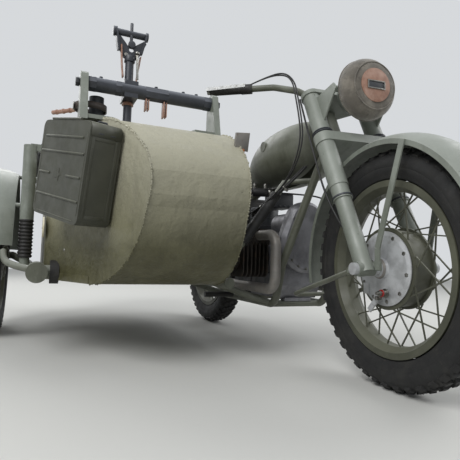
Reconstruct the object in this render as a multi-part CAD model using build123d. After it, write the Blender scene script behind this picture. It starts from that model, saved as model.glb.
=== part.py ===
from build123d import *
import math
import os
from functools import cache

# Military sidecar outfit of the 1950s: flat-twin motorcycle with a sidecar on its right.
# Millimetres. While it is drawn, X is forward from the rear axle, Y left and Z up from the ground.

# Overall dimensions
wheelbase = 1435
track = 1130
sidecar_wheel_lead = 130
ground_clearance = 263

# Wheels, all four alike
tyre_radius = 345
tyre_width = 98
rim_radius = 254
rim_width = 76
rim_lip = 5
axle_radius = 10
running_gap = 0.08
hub_drum_radius = 110
hub_flange_radius = 118
spoke_count = 36
spoke_size = 3.6
spoke_seat = 0.9

# Fork and steering
rake_angle = 26
fork_offset = 72
fork_half_spacing = 108
steering_rest_angle = -3.4
leg_radius = 25.5
shroud_radius = 30.5
lower_yoke_span = (440, 475)
upper_yoke_span = (645, 660)
stem_radius = 14
head_radius = 27
handlebar_radius = 12
handlebar_half_width = 375
grip_height = 1020
headlamp_radius = 90

# Motorcycle frame
tube_radius = 15
rail_height = 190
rail_half_spacing = 112
top_tube_height = 700

# Engine
crank_x = 832
crank_height = 365
cylinder_reach = 335
cylinder_fin_radius = 74
cylinder_fin_count = 7
crankcase_half_width = 112
exhaust_radius = 19

# Fuel tank
tank_front_x = 1070
tank_rear_x = 560

# Sidecar body
body_wall = 5
body_inner_y = -370
nose_x = 1212
nose_outer_y = -680
nose_taper = 0.42
body_outer_y = -930
body_top_rear = 905
tail_x = -600
cowl_rear_x = 560
cockpit_rear_x = 60
cockpit_dip_height = 690

# Equipment box on the sidecar's flank
box_length = 312
box_height = 305
box_thickness = 105
box_gap = 10
box_tilt = 11.5
box_front_x = 1095
box_front_top_z = 736

# Weapon stand over the cowl
crossbar_x = 900
crossbar_height = 929
crossbar_radius = 24
upright_thickness = 22
post_radius = 15
post_top_height = 1046

# Small running clearances
soft_gap = 0.3
pin_gap = 0.1


def at(x, y, z):
    return Location((x, y, z))


def rod(start, end, radius):
    start, end = Vector(*start), Vector(*end)
    plane = Plane(origin=start, z_dir=end - start)
    return plane * Cylinder(radius, (end - start).length, align=(Align.CENTER, Align.CENTER, Align.MIN))


def bar(start, end, width, thickness, across=(0, 1, 0)):
    start, end = Vector(*start), Vector(*end)
    plane = Plane(origin=start, x_dir=across, z_dir=end - start)
    align = (Align.CENTER, Align.CENTER, Align.MIN)
    return plane * Box(thickness, width, (end - start).length, align=align)


def pipe(points, radius, bend):
    path = FilletPolyline(*points, radius=bend)
    return sweep(Plane(origin=path @ 0, z_dir=path % 0) * Circle(radius), path=path)


def cylinder_y(x, y_low, y_high, z, radius):
    return rod((x, y_low, z), (x, y_high, z), radius)


def turned(profile, axis_origin=(0, 0, 0)):
    face = Plane.YZ * make_face(profile)
    return at(*axis_origin) * revolve(face, axis=Axis.Y)


def turned_polygon(points, axis_origin=(0, 0, 0)):
    return turned(Polyline(*points, close=True).edges(), axis_origin)


def prism_y(points, y_low, y_high):
    face = Plane.XZ.offset(-y_low) * make_face(Polyline(*points, close=True).edges())
    return extrude(face, amount=y_high - y_low, dir=(0, 1, 0))


def prism_z(points, z_low, z_high):
    face = Plane.XY.offset(z_low) * make_face(Polyline(*points, close=True).edges())
    return extrude(face, amount=z_high - z_low)


# Wheels

@cache
def tyre():
    half = tyre_width / 2
    bead = rim_width / 2 - rim_lip - soft_gap
    shoulder = (half - 9, tyre_radius - 13)
    flank = (half, (tyre_radius + rim_radius) / 2 - 4)
    foot = (bead, rim_radius + 4)
    root = rim_radius - 11
    return turned([
        Line((-bead, root), (bead, root)),
        Line((bead, root), foot),
        ThreePointArc(foot, flank, shoulder),
        ThreePointArc(shoulder, (0, tyre_radius), (-shoulder[0], shoulder[1])),
        ThreePointArc((-shoulder[0], shoulder[1]), (-flank[0], flank[1]), (-foot[0], foot[1])),
        Line((-foot[0], foot[1]), (-bead, root)),
    ])


def rim_inner_radius():
    return rim_radius - 33


@cache
def rim():
    half = rim_width / 2
    well = rim_inner_radius()
    section = [(-half, rim_radius), (-half, rim_radius - 18), (-15, well), (15, well)]
    section += [(half, rim_radius - 18), (half, rim_radius), (half - 5, rim_radius)]
    section += [(half - 5, rim_radius - 14), (13, well + 6), (-13, well + 6)]
    section += [(-half + 5, rim_radius - 14), (-half + 5, rim_radius)]
    return turned_polygon(section)


@cache
def spokes():
    table = []
    per_side = spoke_count // 2
    for index in range(per_side):
        for side in (-1, 1):
            lead = (1 if index % 2 else -1) * 34
            angle = 360 / per_side * (index + (0.5 if side > 0 else 0))
            table.append((side, angle, lead))
    laced = []
    for side, angle, lead in table:
        inner = math.radians(angle - lead / 2)
        outer = math.radians(angle + lead / 2)
        reach = hub_flange_radius + spoke_seat
        end = rim_inner_radius() - spoke_seat
        start = (reach * math.cos(inner), side * 31, reach * math.sin(inner))
        tip = (end * math.cos(outer), side * 9, end * math.sin(outer))
        laced.append(bar(start, tip, spoke_size, spoke_size))
    return laced


@cache
def hub():
    bore = axle_radius + running_gap
    flange, drum = hub_flange_radius, hub_drum_radius
    section = [(-36, drum - 4), (-36, flange), (-28, flange), (-28, drum), (28, drum), (28, flange)]
    section += [(34, flange), (34, drum - 4), (40, 60), (56, 30), (56, bore), (-12, bore)]
    section += [(-12, 34), (-16, drum - 10), (-22, drum - 6)]
    return turned_polygon(section)


def brake_plate():
    bore = axle_radius
    edge = hub_drum_radius - 3
    section = [(-38, edge), (-41, edge), (-45, edge - 12), (-49, 30), (-66, 24), (-66, bore)]
    section += [(-38, bore)]
    return turned_polygon(section)


def place_wheel(prefix, centre, parts):
    move = at(*centre)
    parts[prefix + "_tyre"] = [move * tyre()]
    parts[prefix + "_wheel"] = [move * rim(), move * hub()] + [move * spoke for spoke in spokes()]


# Fork, drawn straight ahead and turned to its rest angle at the end

yoke_bore_radius = 21
stand_pivot = Vector(wheelbase - 38, 0, 337)
stand_half_width = 127
stand_pin_radius = 5
stay_foot_x = wheelbase + 36
stay_foot_y = 92

rake = math.radians(rake_angle)
steer_dir = Vector(-math.sin(rake), 0, math.cos(rake))
forward_dir = Vector(math.cos(rake), 0, math.sin(rake))
front_axle = Vector(wheelbase, 0, tyre_radius)
steer_origin = front_axle - forward_dir * fork_offset
steering_axis = Axis(steer_origin, steer_dir)


def along_fork(t, forward=0, side=0):
    return steer_origin + steer_dir * t + forward_dir * forward + Vector(0, side, 0)


def fork_plane(t):
    return Plane(origin=along_fork(t), x_dir=forward_dir, z_dir=steer_dir)


@cache
def fork_leg(side):
    # from along the leg, to, radius
    steps = [
        (-14, 228, leg_radius),
        (228, 240, shroud_radius - 0.5),
        (240, 275, shroud_radius - 2.5),
        (275, lower_yoke_span[0], shroud_radius),
        (lower_yoke_span[0], lower_yoke_span[1], yoke_bore_radius),
        (lower_yoke_span[1], upper_yoke_span[0], shroud_radius - 1),
        (upper_yoke_span[0], upper_yoke_span[1], yoke_bore_radius),
        (upper_yoke_span[1], upper_yoke_span[1] + 12, 17),
    ]
    y = side * fork_half_spacing
    leg = None
    for low, high, radius in steps:
        piece = rod(along_fork(low, fork_offset, y), along_fork(high, fork_offset, y), radius)
        leg = piece if leg is None else leg + piece
    lug_in, lug_out = sorted((side * 82, side * 137))
    leg += cylinder_y(wheelbase, lug_in, lug_out, tyre_radius, 21)
    ear_x, ear_z = stand_pivot.X, stand_pivot.Z
    leg += cylinder_y(ear_x, y - 9, y + 9, ear_z, 11)
    leg += prism_y([(ear_x, ear_z - 11), (wheelbase, ear_z - 11), (wheelbase, ear_z + 11), (ear_x, ear_z + 11)],
                   y - 9, y + 9)
    pin_in, pin_out = sorted((side * fork_half_spacing, side * (stand_half_width + 10)))
    leg += cylinder_y(ear_x, pin_in, pin_out, ear_z, stand_pin_radius)
    tab_in, tab_out = sorted((side * (stay_foot_y - 6), side * (stay_foot_y - 2)))
    leg += prism_y([(wheelbase, 340), (stay_foot_x + 10, 340), (stay_foot_x + 10, 366), (wheelbase, 366)],
                   tab_in, tab_out)
    return leg - cylinder_y(wheelbase, -200, 200, tyre_radius, axle_radius)


def fork_yokes():
    yokes = []
    for low, high in (lower_yoke_span, upper_yoke_span):
        web = fork_plane(low) * extrude(make_hull([
            *Circle(33).edges(),
            *(Pos(fork_offset, fork_half_spacing) * Circle(34)).edges(),
            *(Pos(fork_offset, -fork_half_spacing) * Circle(34)).edges(),
        ]), amount=high - low)
        for side in (-1, 1):
            web -= rod(along_fork(low - 1, fork_offset, side * fork_half_spacing),
                       along_fork(high + 1, fork_offset, side * fork_half_spacing), yoke_bore_radius)
        yokes.append(web)
    stem = rod(along_fork(lower_yoke_span[0]), along_fork(upper_yoke_span[1] + 10), stem_radius)
    return yokes[0] + yokes[1] + stem


def front_spindle():
    spindle = cylinder_y(wheelbase, -150, 150, tyre_radius, axle_radius)
    for low, high in ((-150, -137.2), (137.2, 150), (56.4, 81.8)):
        spindle += cylinder_y(wheelbase, low, high, tyre_radius, 17)
    return spindle


def front_brake():
    plate = at(*front_axle) * brake_plate()
    arm = bar((wheelbase - 6, -58, 262), (wheelbase - 46, -58, 222), 16, 5)
    pivot = cylinder_y(wheelbase - 6, -64, -44, 262, 11)
    anchor = prism_y([(1352, 268), (1376, 268), (1376, 300), (1352, 300)], -49, -40)
    spacer = cylinder_y(wheelbase, -82, -66, tyre_radius, 17)
    spacer -= cylinder_y(wheelbase, -90, -60, tyre_radius, axle_radius)
    return plate + pivot + arm + anchor + spacer


def fender_section(half, crown, edge, sheet, drop=14):
    return [
        Line((-half, edge - drop), (-half, edge)),
        ThreePointArc((-half, edge), (0, crown), (half, edge)),
        Line((half, edge), (half, edge - drop)),
        Line((half, edge - drop), (half - sheet, edge - drop)),
        Line((half - sheet, edge - drop), (half - sheet, edge - 1)),
        ThreePointArc((half - sheet, edge - 1), (0, crown - sheet), (-half + sheet, edge - 1)),
        Line((-half + sheet, edge - 1), (-half + sheet, edge - drop)),
        Line((-half + sheet, edge - drop), (-half, edge - drop)),
    ]


def fender(centre, half, crown, edge, rear_angle, front_angle, sheet=3):
    face = Plane.YZ * make_face(fender_section(half, crown, edge, sheet))
    face = face.rotate(Axis.Y, 90 - rear_angle)
    return at(*centre) * revolve(face, axis=Axis.Y, revolution_arc=rear_angle - front_angle)


front_fender_half = 72
front_fender_crown = tyre_radius + 42
front_fender_edge = tyre_radius + 20


def front_fender():
    return fender(front_axle, front_fender_half, front_fender_crown, front_fender_edge, 190, 18)


def front_fender_stays():
    stays = []
    for side in (-1, 1):
        top = (wheelbase + 118, side * (front_fender_half + 2 + soft_gap), tyre_radius + 345)
        knee = (stay_foot_x, side * stay_foot_y, 402)
        foot = (stay_foot_x, side * stay_foot_y, 342)
        stays.append(bar(top, knee, 4, 20, (1, 0, 0)) + bar(knee, foot, 4, 20, (1, 0, 0)))
        low, high = sorted((side * (front_fender_half + soft_gap), side * (front_fender_half + 16)))
        lug = cylinder_y(1262, low, high, 672, 9) - fork_leg(side)
        stays.append(lug.solids().sort_by(SortBy.VOLUME)[-1])
    return stays


lamp_centre = along_fork(572, 200)
lamp_rim = lamp_centre + Vector(28, 0, 0)
ear_y = 104


def headlamp():
    # back from the rim, radius
    outline = [(0, 0), (0, headlamp_radius), (-16, headlamp_radius), (-60, headlamp_radius - 12),
               (-96, headlamp_radius - 34), (-118, headlamp_radius - 62), (-124, 0)]
    shell = revolve(Plane.XZ * make_face(Polyline(*outline, close=True).edges()), axis=Axis.X)
    shell = at(*lamp_rim) * shell
    for side in (-1, 1):
        low, high = sorted((side * (headlamp_radius - 14), side * (ear_y - soft_gap)))
        shell += cylinder_y(lamp_rim.X - 40, low, high, lamp_rim.Z, 10)
    return shell


def headlamp_cover():
    outer = headlamp_radius + 11
    inner = headlamp_radius + soft_gap
    outline = [(34, 0), (30, 50), (16, 84), (0, outer - 3), (-14, outer), (-26, outer - 4),
               (-26, inner), (soft_gap, inner), (soft_gap, 0)]
    cover = revolve(Plane.XZ * make_face(Polyline(*outline, close=True).edges()), axis=Axis.X)
    return at(*lamp_rim) * cover


def headlamp_ears():
    ears = []
    for side in (-1, 1):
        y = side * (ear_y + 2.5)
        low = along_fork(512, fork_offset + 10, y)
        high = along_fork(628, fork_offset + 10, y)
        tip = lamp_rim + Vector(-40, y, 0)
        plate = prism_y([(low.X, low.Z), (tip.X, tip.Z - 18), (tip.X + 16, tip.Z),
                         (tip.X, tip.Z + 18), (high.X, high.Z)], y - 2.5, y + 2.5)
        leg = rod(along_fork(400, fork_offset, side * fork_half_spacing),
                  along_fork(700, fork_offset, side * fork_half_spacing), shroud_radius - 1)
        ears.append(plate - leg)
    return ears


bar_seat = along_fork(upper_yoke_span[1] + 26, 30)
grip_tip = Vector(842, handlebar_half_width, grip_height)
grip_root = Vector(908, handlebar_half_width - 105, grip_height)
grip_aim = (grip_tip - grip_root).normalized()


def mirrored(point, side):
    return Vector(point.X, side * point.Y, point.Z)


@cache
def handlebar():
    half_path = [
        (bar_seat.X, 52, bar_seat.Z),
        (bar_seat.X - 26, 118, bar_seat.Z + 36),
        (grip_root.X + 66, grip_root.Y - 105, grip_height),
        (grip_tip.X, grip_tip.Y, grip_height),
    ]
    points = [(x, -y, z) for x, y, z in reversed(half_path)]
    points += half_path
    return pipe(points, handlebar_radius, 34)


def grips():
    solids = []
    tube = handlebar()
    for side in (-1, 1):
        aim = mirrored(grip_aim, side)
        tip = mirrored(grip_tip, side)
        grip = rod(tip - aim * 122, tip, 17)
        drum = rod(tip - aim * 164, tip - aim * 123, 19)
        solids += [grip - tube, drum - tube]
    return solids


def hand_levers():
    solids = []
    lead = Vector(0.85, 0, 0)
    for side in (-1, 1):
        aim = mirrored(grip_aim, side)
        tip = mirrored(grip_tip, side) + aim * soft_gap
        across = Vector(-aim.Y, aim.X, 0) * (-side)
        pivot = rod(tip, tip + aim * 12, 12)
        start = tip + aim * 6 + across * 30
        neck = bar(tip + aim * 6 - across * 2, start, 9, 12, (0, 0, 1))
        blade = bar(start - across * 4, start - aim * 150 + across * 12, 7, 13, (0, 0, 1))
        solids.append(pivot + neck + blade)
    return solids


def bar_clamps():
    solids = []
    tube = handlebar()
    base = along_fork(upper_yoke_span[1])
    for side in (-1, 1):
        block = Plane(origin=base + Vector(0, side * 38, 0), x_dir=forward_dir, z_dir=steer_dir)
        tower = block * (Pos(30, 0, 0) * Box(34, 24, 42, align=(Align.CENTER, Align.CENTER, Align.MIN)))
        solids.append(tower - tube)
    return solids


def front_stand():
    side = stand_half_width
    loop = pipe([
        (stand_pivot.X, -side, stand_pivot.Z),
        (1052, -side, 240),
        (1052, side, 240),
        (stand_pivot.X, side, stand_pivot.Z),
    ], 8, 34)
    for low, high in ((-side - 8, -side + 8), (side - 8, side + 8)):
        loop += cylinder_y(stand_pivot.X, low, high, stand_pivot.Z, 12)
    return loop - cylinder_y(stand_pivot.X, -200, 200, stand_pivot.Z, stand_pin_radius + pin_gap)


# Motorcycle frame and running gear

def head_solid(radius):
    return rod(along_fork(lower_yoke_span[1] + 3), along_fork(upper_yoke_span[0] - 3), radius)


@cache
def frame_spine():
    stem = rod(along_fork(400), along_fork(700), stem_radius + running_gap)
    head = head_solid(head_radius)
    joint = along_fork(555)
    backbone = pipe([(joint.X, 0, joint.Z), (940, 0, 796), (640, 0, top_tube_height), (424, 0, 640)], 19, 60)
    gusset = prism_y([(along_fork(500).X, along_fork(500).Z), (1010, 770), (joint.X, joint.Z)], -5, 5)
    saddle_tube = cylinder_y(408, -74, 74, 636, 15)
    return head + backbone + gusset + saddle_tube - stem


@cache
def cradle_loop(side):
    y = side * rail_half_spacing
    start = along_fork(505)
    return pipe([
        (start.X - 24, side * 26, start.Z + 6),
        (975, y, 345),
        (925, y, rail_height),
        (402, y, rail_height),
        (402, y, 420),
        (408, side * 60, 636),
    ], tube_radius, 55)


@cache
def frame_cradle():
    cradle = cradle_loop(-1) + cradle_loop(1)
    for x in (895, 560):
        cradle += cylinder_y(x, -rail_half_spacing, rail_half_spacing, rail_height, tube_radius - 2)
    cradle += rod((1081, -52, 650), strut_lug, 10)
    cradle += cylinder_y(swing_pivot_x, -rail_half_spacing, rail_half_spacing, swing_pivot_z, 13)
    return cradle - frame_spine()


strut_lug = (992, -118, 650)
swing_pivot_x = 402
swing_pivot_z = 340
rear_rail_half = 100
shock_foot_x = 34
shock_top_x = 58


@cache
def rear_frame():
    frame = None
    for side in (-1, 1):
        piece = pipe([
            (408, side * 66, 636),
            (290, side * rear_rail_half, 650),
            (-60, side * rear_rail_half, 650),
            (-190, side * (rear_rail_half - 6), 600),
        ], 12, 60)
        for x, z in ((150, 674), (-50, 706)):
            piece += bar((x, side * rear_rail_half, 650), (x, side * (rear_fender_half + 3), z), 5, 22, (1, 0, 0))
        low, high = sorted((side * rear_rail_half, side * 118))
        piece += cylinder_y(shock_top_x, low, high, 640, 9)
        frame = piece if frame is None else frame + piece
    frame += cylinder_y(290, -rear_rail_half, rear_rail_half, 650, 10)
    return frame - frame_spine() - cradle_loop(1) - cradle_loop(-1) - rear_fender()


@cache
def swing_arm():
    arm = None
    for side in (-1, 1):
        piece = pipe([(swing_pivot_x, side * 76, swing_pivot_z), (300, side * 80, 341),
                      (200, side * rear_rail_half, 343), (0, side * rear_rail_half, tyre_radius)], 15, 60)
        low, high = sorted((side * rear_rail_half, side * 116))
        piece += cylinder_y(shock_foot_x, low, high, 360, 8)
        arm = piece if arm is None else arm + piece
    arm += cylinder_y(swing_pivot_x, -90, 90, swing_pivot_z, 23)
    arm -= cylinder_y(swing_pivot_x, -200, 200, swing_pivot_z, 13)
    arm -= cylinder_y(0, -200, 200, tyre_radius, axle_radius)
    return arm


def rear_spindle():
    spindle = cylinder_y(0, -124, 124, tyre_radius, axle_radius)
    for low, high in ((-124, -115.2), (115.2, 124), (56.4, 84)):
        spindle += cylinder_y(0, low, high, tyre_radius, 13)
    return spindle


shaft_y = -67


def final_drive():
    section = [(-46, axle_radius), (-46, 92), (-58, 96), (-78, 70), (-84, 30), (-84, axle_radius)]
    case = at(0, 0, tyre_radius) * turned_polygon(section)
    return case + rod((60, shaft_y, 372), (118, shaft_y, 380), 17)


def drive_shaft():
    return rod((118, shaft_y, 380), (486, shaft_y, 388), 10) + rod((440, shaft_y, 387), (484, shaft_y, 388), 25)


def shock(x, y, z_low, z_high, radius, lean=0):
    top = Vector(x + lean, y, z_high)
    low = Vector(x, y, z_low)
    lift = top - low
    damper = rod(low, low + lift * 0.42, radius * 0.72)
    return damper + rod(low + lift * 0.38, top, radius)



def rear_shocks():
    solids = []
    pins = rear_frame() + swing_arm()
    for side in (-1, 1):
        solids.append(shock(shock_foot_x, side * 128, 350, 660, 24, lean=shock_top_x - shock_foot_x) - pins)
    return solids


def engine_block():
    z0, z1 = 212, 470
    plan = make_face(Polyline((668, z0), (900, z0), (932, z0 + 50), (932, z1), (720, z1), (668, 430),
                              close=True).edges())
    block = extrude(Plane.XZ * plan, amount=crankcase_half_width - 25, both=True)
    front = Plane(origin=(932, 0, 0), x_dir=(0, 1, 0), z_dir=(1, 0, 0))
    outline = make_hull([*(Pos(0, 424) * Circle(112)).edges(), *(Pos(0, 506) * Circle(84)).edges()])
    cover = front * extrude(outline, amount=44)
    cover = chamfer(cover.faces().sort_by(Axis.X)[-1].edges(), 14)
    dynamo = rod((760, 0, 508), (940, 0, 508), 46)
    foot = prism_y([(880, 200), (910, 200), (910, z0 + 1), (880, z0 + 1)], -60, 60) - frame_cradle()
    block += cover + dynamo + foot
    for side in (-1, 1):
        low, high = sorted((side * 80, side * (crankcase_half_width + 8)))
        block += cylinder_y(crank_x, low, high, crank_height, 58)
    return block


def cylinder(side):
    low = side * (crankcase_half_width + 8.2)
    pitch = 17
    base, tip = sorted((low, side * (cylinder_reach - 50)))
    barrel = cylinder_y(crank_x, base, tip, crank_height, 48)
    start = crankcase_half_width + 26
    for index in range(cylinder_fin_count):
        y = side * (start + index * pitch)
        fin = at(crank_x, y, crank_height - 4) * Box(cylinder_fin_radius * 2, 5, cylinder_fin_radius * 2 - 8)
        fin = fillet(fin.edges().filter_by(Axis.Y), 26)
        barrel += fin
    base, tip = sorted((side * (cylinder_reach - 52), side * cylinder_reach))
    head = at(crank_x, (base + tip) / 2, crank_height + 4) * Box(132, tip - base, 138)
    head = fillet(head.edges().filter_by(Axis.Y), 30)
    base, tip = sorted((side * (crankcase_half_width + 12), side * (crankcase_half_width + 86)))
    chest = at(crank_x, (base + tip) / 2, crank_height + 82) * Box(124, tip - base, 62)
    return barrel + head + chest


def gearbox():
    z0, z1 = 222, 440
    plan = make_face(Polyline((490, 300), (520, z0), (667.7, z0), (667.7, z1), (540, z1), (490, 410),
                              close=True).edges())
    case = extrude(Plane.XZ * plan, amount=90, both=True)
    return case + (prism_y([(545, 200), (575, 200), (575, z0 + 1), (545, z0 + 1)], -60, 60) - frame_cradle())


port_y = crankcase_half_width + 58
port_height = crank_height + 87


def carburettor(side):
    x, y, z = 728, side * port_y, port_height
    body = rod((crank_x - 62.3, y, z), (690, y, z), 18)
    bowl_y = y + side * 24
    bowl = rod((x, bowl_y, z - 34), (x, bowl_y, z + 20), 16)
    slide = rod((x, y, z), (x, y, z + 62), 15)
    return body + bowl + slide


def exhaust(side):
    y = side * port_y
    low = 252
    header = pipe([
        (crank_x + 62.3, y, port_height),
        (1026, y, port_height),
        (1026, y, low),
        (720, y, low),
        (430, y, low + 12),
        (400, y, low + 14),
    ], exhaust_radius, 50)
    silencer = rod((400, y, low + 14), (-60, side * 174, low + 34), 32)
    tail = rod((-60, side * 174, low + 34), (-230, side * 176, low + 42), 16)
    return header + silencer + tail


def fuel_tank():
    # forward from the rear axle, centre height, width, height, corner radius
    sections = [
        (tank_front_x, 806, 104, 110, 50),
        (tank_front_x - 34, 800, 200, 168, 80),
        (tank_front_x - 110, 788, 268, 204, 96),
        (tank_front_x - 240, 776, 288, 212, 100),
        (tank_rear_x + 120, 756, 226, 172, 80),
        (tank_rear_x, 740, 120, 110, 48),
    ]
    faces = []
    for x, z, width, height, corner in sections:
        plane = Plane(origin=(x, 0, z), x_dir=(0, 1, 0), z_dir=(1, 0, 0))
        faces.append(plane * RectangleRounded(width, height, corner))
    tank = loft(faces)
    tank -= prism_y([(1100, 882), (940, 822), (640, 726), (500, 690), (500, 560), (1100, 560)], -24, 24)
    lid = at(880, 0, 886) * Cylinder(34, 26)
    badges = []
    for side in (-1, 1):
        low, high = sorted((side * 130, side * 146))
        badges.append(cylinder_y(856, low, high, 812, 20) - tank)
    return [tank, lid - tank] + badges


def saddle(front_x, height):
    # along, half width
    outline = [(front_x, 22), (front_x - 110, 46), (front_x - 190, 118), (front_x - 268, 128),
               (front_x - 312, 84)]
    points = outline + [(x, -y) for x, y in reversed(outline)]
    pad = prism_z(points, height, height + 52)
    pad = fillet(pad.edges().filter_by(Axis.Z), 18)
    pad = fillet(pad.faces().sort_by(Axis.Z)[-1].edges(), 16)
    return pad


def saddle_springs():
    solids = []
    carried = rear_frame() + frame_spine() + saddle(560, 742) + saddle(210, 782)
    # front of the saddle, its underside
    for front_x, top_z in ((560, 742), (210, 782)):
        for side in (-1, 1):
            x, y = front_x - 262, side * (rear_rail_half + 2)
            solids.append(rod((x, y, 650), (x, y, top_z), 22) - carried)
    solids.append(rod((520, 0, 650), (500, 0, 746), 10) - carried)
    solids.append(rod((290, 0, 650), (176, 0, 786), 9) - carried)
    return solids


rear_fender_half = 76


def rear_fender():
    return fender((0, 0, tyre_radius), rear_fender_half, tyre_radius + 46, tyre_radius + 22, 186, 32)


def footrest(side):
    low, high = sorted((side * (rail_half_spacing + tube_radius - 1), side * 262))
    return cylinder_y(560, low, high, rail_height + 8, 12) - cradle_loop(side)


stand_axle_x = 440
stand_axle_z = 222


def centre_stand():
    stand = cylinder_y(stand_axle_x, -90, 90, stand_axle_z, 12)
    for side in (-1, 1):
        stand += pipe([(stand_axle_x, side * 80, stand_axle_z), (330, side * 80, 196),
                       (214, side * 106, 190)], 10, 40)
    stand += cylinder_y(368, -80, 80, 205, 8)
    return stand - cylinder_y(stand_axle_x, -200, 200, stand_axle_z, 6 + pin_gap)


def stand_axle():
    axle = cylinder_y(stand_axle_x, -rail_half_spacing + 12, rail_half_spacing - 12, stand_axle_z, 6)
    for low, high in ((-rail_half_spacing + 4, -rail_half_spacing + 12),
                      (rail_half_spacing - 12, rail_half_spacing - 4)):
        axle += prism_y([(stand_axle_x - 14, rail_height), (stand_axle_x + 14, rail_height),
                         (stand_axle_x + 14, stand_axle_z + 10), (stand_axle_x - 14, stand_axle_z + 10)],
                        low, high)
    return axle - cradle_loop(-1) - cradle_loop(1)


# Sidecar

def body_side_profile(shrink=0.0):
    s = shrink
    low = ground_clearance + s
    nose = nose_x - s
    return make_face([
        Line((tail_x + 250, low), (930, low)),
        ThreePointArc((930, low), (1112 - s * 0.7, 337 + s * 0.7), (nose - 12, 500)),
        ThreePointArc((nose - 12, 500), (nose - 2, 612), (1146 - s * 0.7, 702 - s * 0.7)),
        ThreePointArc((1146 - s * 0.7, 702 - s * 0.7), (1066 - s * 0.6, 762 - s), (960, 798 - s)),
        Line((960, 798 - s), (cowl_rear_x, 858 - s)),
        Line((cowl_rear_x, 858 - s), (cockpit_rear_x, body_top_rear - s)),
        Line((cockpit_rear_x, body_top_rear - s), (tail_x + s, 598 - s)),
        Line((tail_x + s, 598 - s), (tail_x + s + 10, 470)),
        Line((tail_x + s + 10, 470), (tail_x + 250, low)),
    ])


def side_y(x):
    return max(nose_outer_y - (nose_x - x) * nose_taper, body_outer_y)


def taper_end_x():
    return nose_x - (nose_outer_y - body_outer_y) / nose_taper


def body_plan(shrink=0.0):
    s = shrink
    return make_face(Polyline(
        (nose_x - s, body_inner_y - s),
        (-350, body_inner_y - s),
        (tail_x + s, body_inner_y - 90 - s),
        (tail_x + s, body_outer_y + 120 + s),
        (-350, body_outer_y + s),
        (taper_end_x() - s * 0.2, body_outer_y + s),
        (nose_x - s, nose_outer_y + s * 1.1),
        close=True).edges())


@cache
def body_block(shrink=0.0):
    slab = Pos(0, (body_inner_y + body_outer_y) / 2, 0) * extrude(
        Plane.XZ * body_side_profile(shrink), amount=400, both=True)
    prism = extrude(Plane.XY.offset(100) * body_plan(shrink), amount=1000)
    return slab & prism


def cockpit_cut():
    dip = make_face([
        Line((cowl_rear_x, 1000), (cowl_rear_x, 850)),
        ThreePointArc((cowl_rear_x, 850), (500, 742), (390, cockpit_dip_height)),
        Line((390, cockpit_dip_height), (230, cockpit_dip_height)),
        ThreePointArc((230, cockpit_dip_height), (110, 752), (cockpit_rear_x, 880)),
        Line((cockpit_rear_x, 880), (cockpit_rear_x, 1000)),
        Line((cockpit_rear_x, 1000), (cowl_rear_x, 1000)),
    ])
    return Pos(0, (body_inner_y + body_outer_y) / 2, 0) * extrude(Plane.XZ * dip, amount=400, both=True)


deck_slope = math.atan2(body_top_rear - 598, cockpit_rear_x - tail_x)
deck_mid = Vector((cockpit_rear_x + tail_x) / 2, -670, (body_top_rear + 598) / 2)
deck_plane = Plane(origin=deck_mid, x_dir=(math.cos(deck_slope), 0, math.sin(deck_slope)),
                   z_dir=(-math.sin(deck_slope), 0, math.cos(deck_slope)))
lid_length = 470
lid_width = 370
lid_lap = 20
front_tube_x = 700
front_tube_z = 292


def sidecar_body():
    shell = body_block() - body_block(body_wall) - cockpit_cut()
    shell -= deck_plane * Box(lid_length - 2 * lid_lap, lid_width - 2 * lid_lap, 60)
    shell -= cylinder_y(front_tube_x, -1000, -300, front_tube_z, 30)
    return shell


floor_top = ground_clearance + body_wall + soft_gap + 12
seat_base_top = 412
seat_height = 110


def body_inner():
    inside = body_block(body_wall + soft_gap)
    mid_y = (body_inner_y + body_outer_y) / 2
    bulkhead = (at(cockpit_rear_x - 30, 0, 0) * Box(6, 3000, 3000)) & inside
    bulkhead -= prism_y([(0, 884), (200, 884), (200, 1000), (0, 1000)], -1000, -300)
    floor = at(340, mid_y, floor_top - 6) * Box(560, 500, 12)
    base_mid = (floor_top + seat_base_top + soft_gap) / 2
    base = at(290, mid_y, base_mid) * Box(380, 480, seat_base_top - floor_top - soft_gap)
    return [bulkhead, floor, base]


def boot_lid():
    plate = Pos(0, 0, 3 + soft_gap) * Box(lid_length, lid_width, 6)
    lid = deck_plane * plate
    for side in (-1, 1):
        y = deck_mid.Y + side * 120
        lid += deck_plane * (Pos(lid_length / 2, side * 120, 3 + soft_gap) * Box(14, 28, 6))
        lid += cylinder_y(lid_hinge.X, y - 14, y + 14, lid_hinge.Z, 6)
    return lid - cylinder_y(lid_hinge.X, -1000, -300, lid_hinge.Z, 3 + pin_gap)


lid_hinge = deck_plane.from_local_coords(Vector(lid_length / 2 + 9, 0, 7))


def lid_hinge_leaves():
    leaves = []
    for side in (-1, 1):
        y = deck_mid.Y + side * 120
        leaf = deck_plane * (Pos(lid_length / 2 + 26, side * 120, 1.5) * Box(30, 60, 3))
        for low, high in ((y - 30, y - 14.4), (y + 14.4, y + 30)):
            leaf += cylinder_y(lid_hinge.X, low, high, lid_hinge.Z, 6)
        slot = cylinder_y(lid_hinge.X, y - 14.4, y + 14.4, lid_hinge.Z, 6.4)
        pin = cylinder_y(lid_hinge.X, y - 30, y + 30, lid_hinge.Z, 3)
        leaves.append(leaf - slot - body_block() + pin)
    return leaves


spare_height = 118
spare_along = -12
hub_face = 56


def deck_rod(low, high, radius):
    return deck_plane * (Pos(spare_along, 0, low) * Cylinder(
        radius, high - low, align=(Align.CENTER, Align.CENTER, Align.MIN)))


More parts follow.
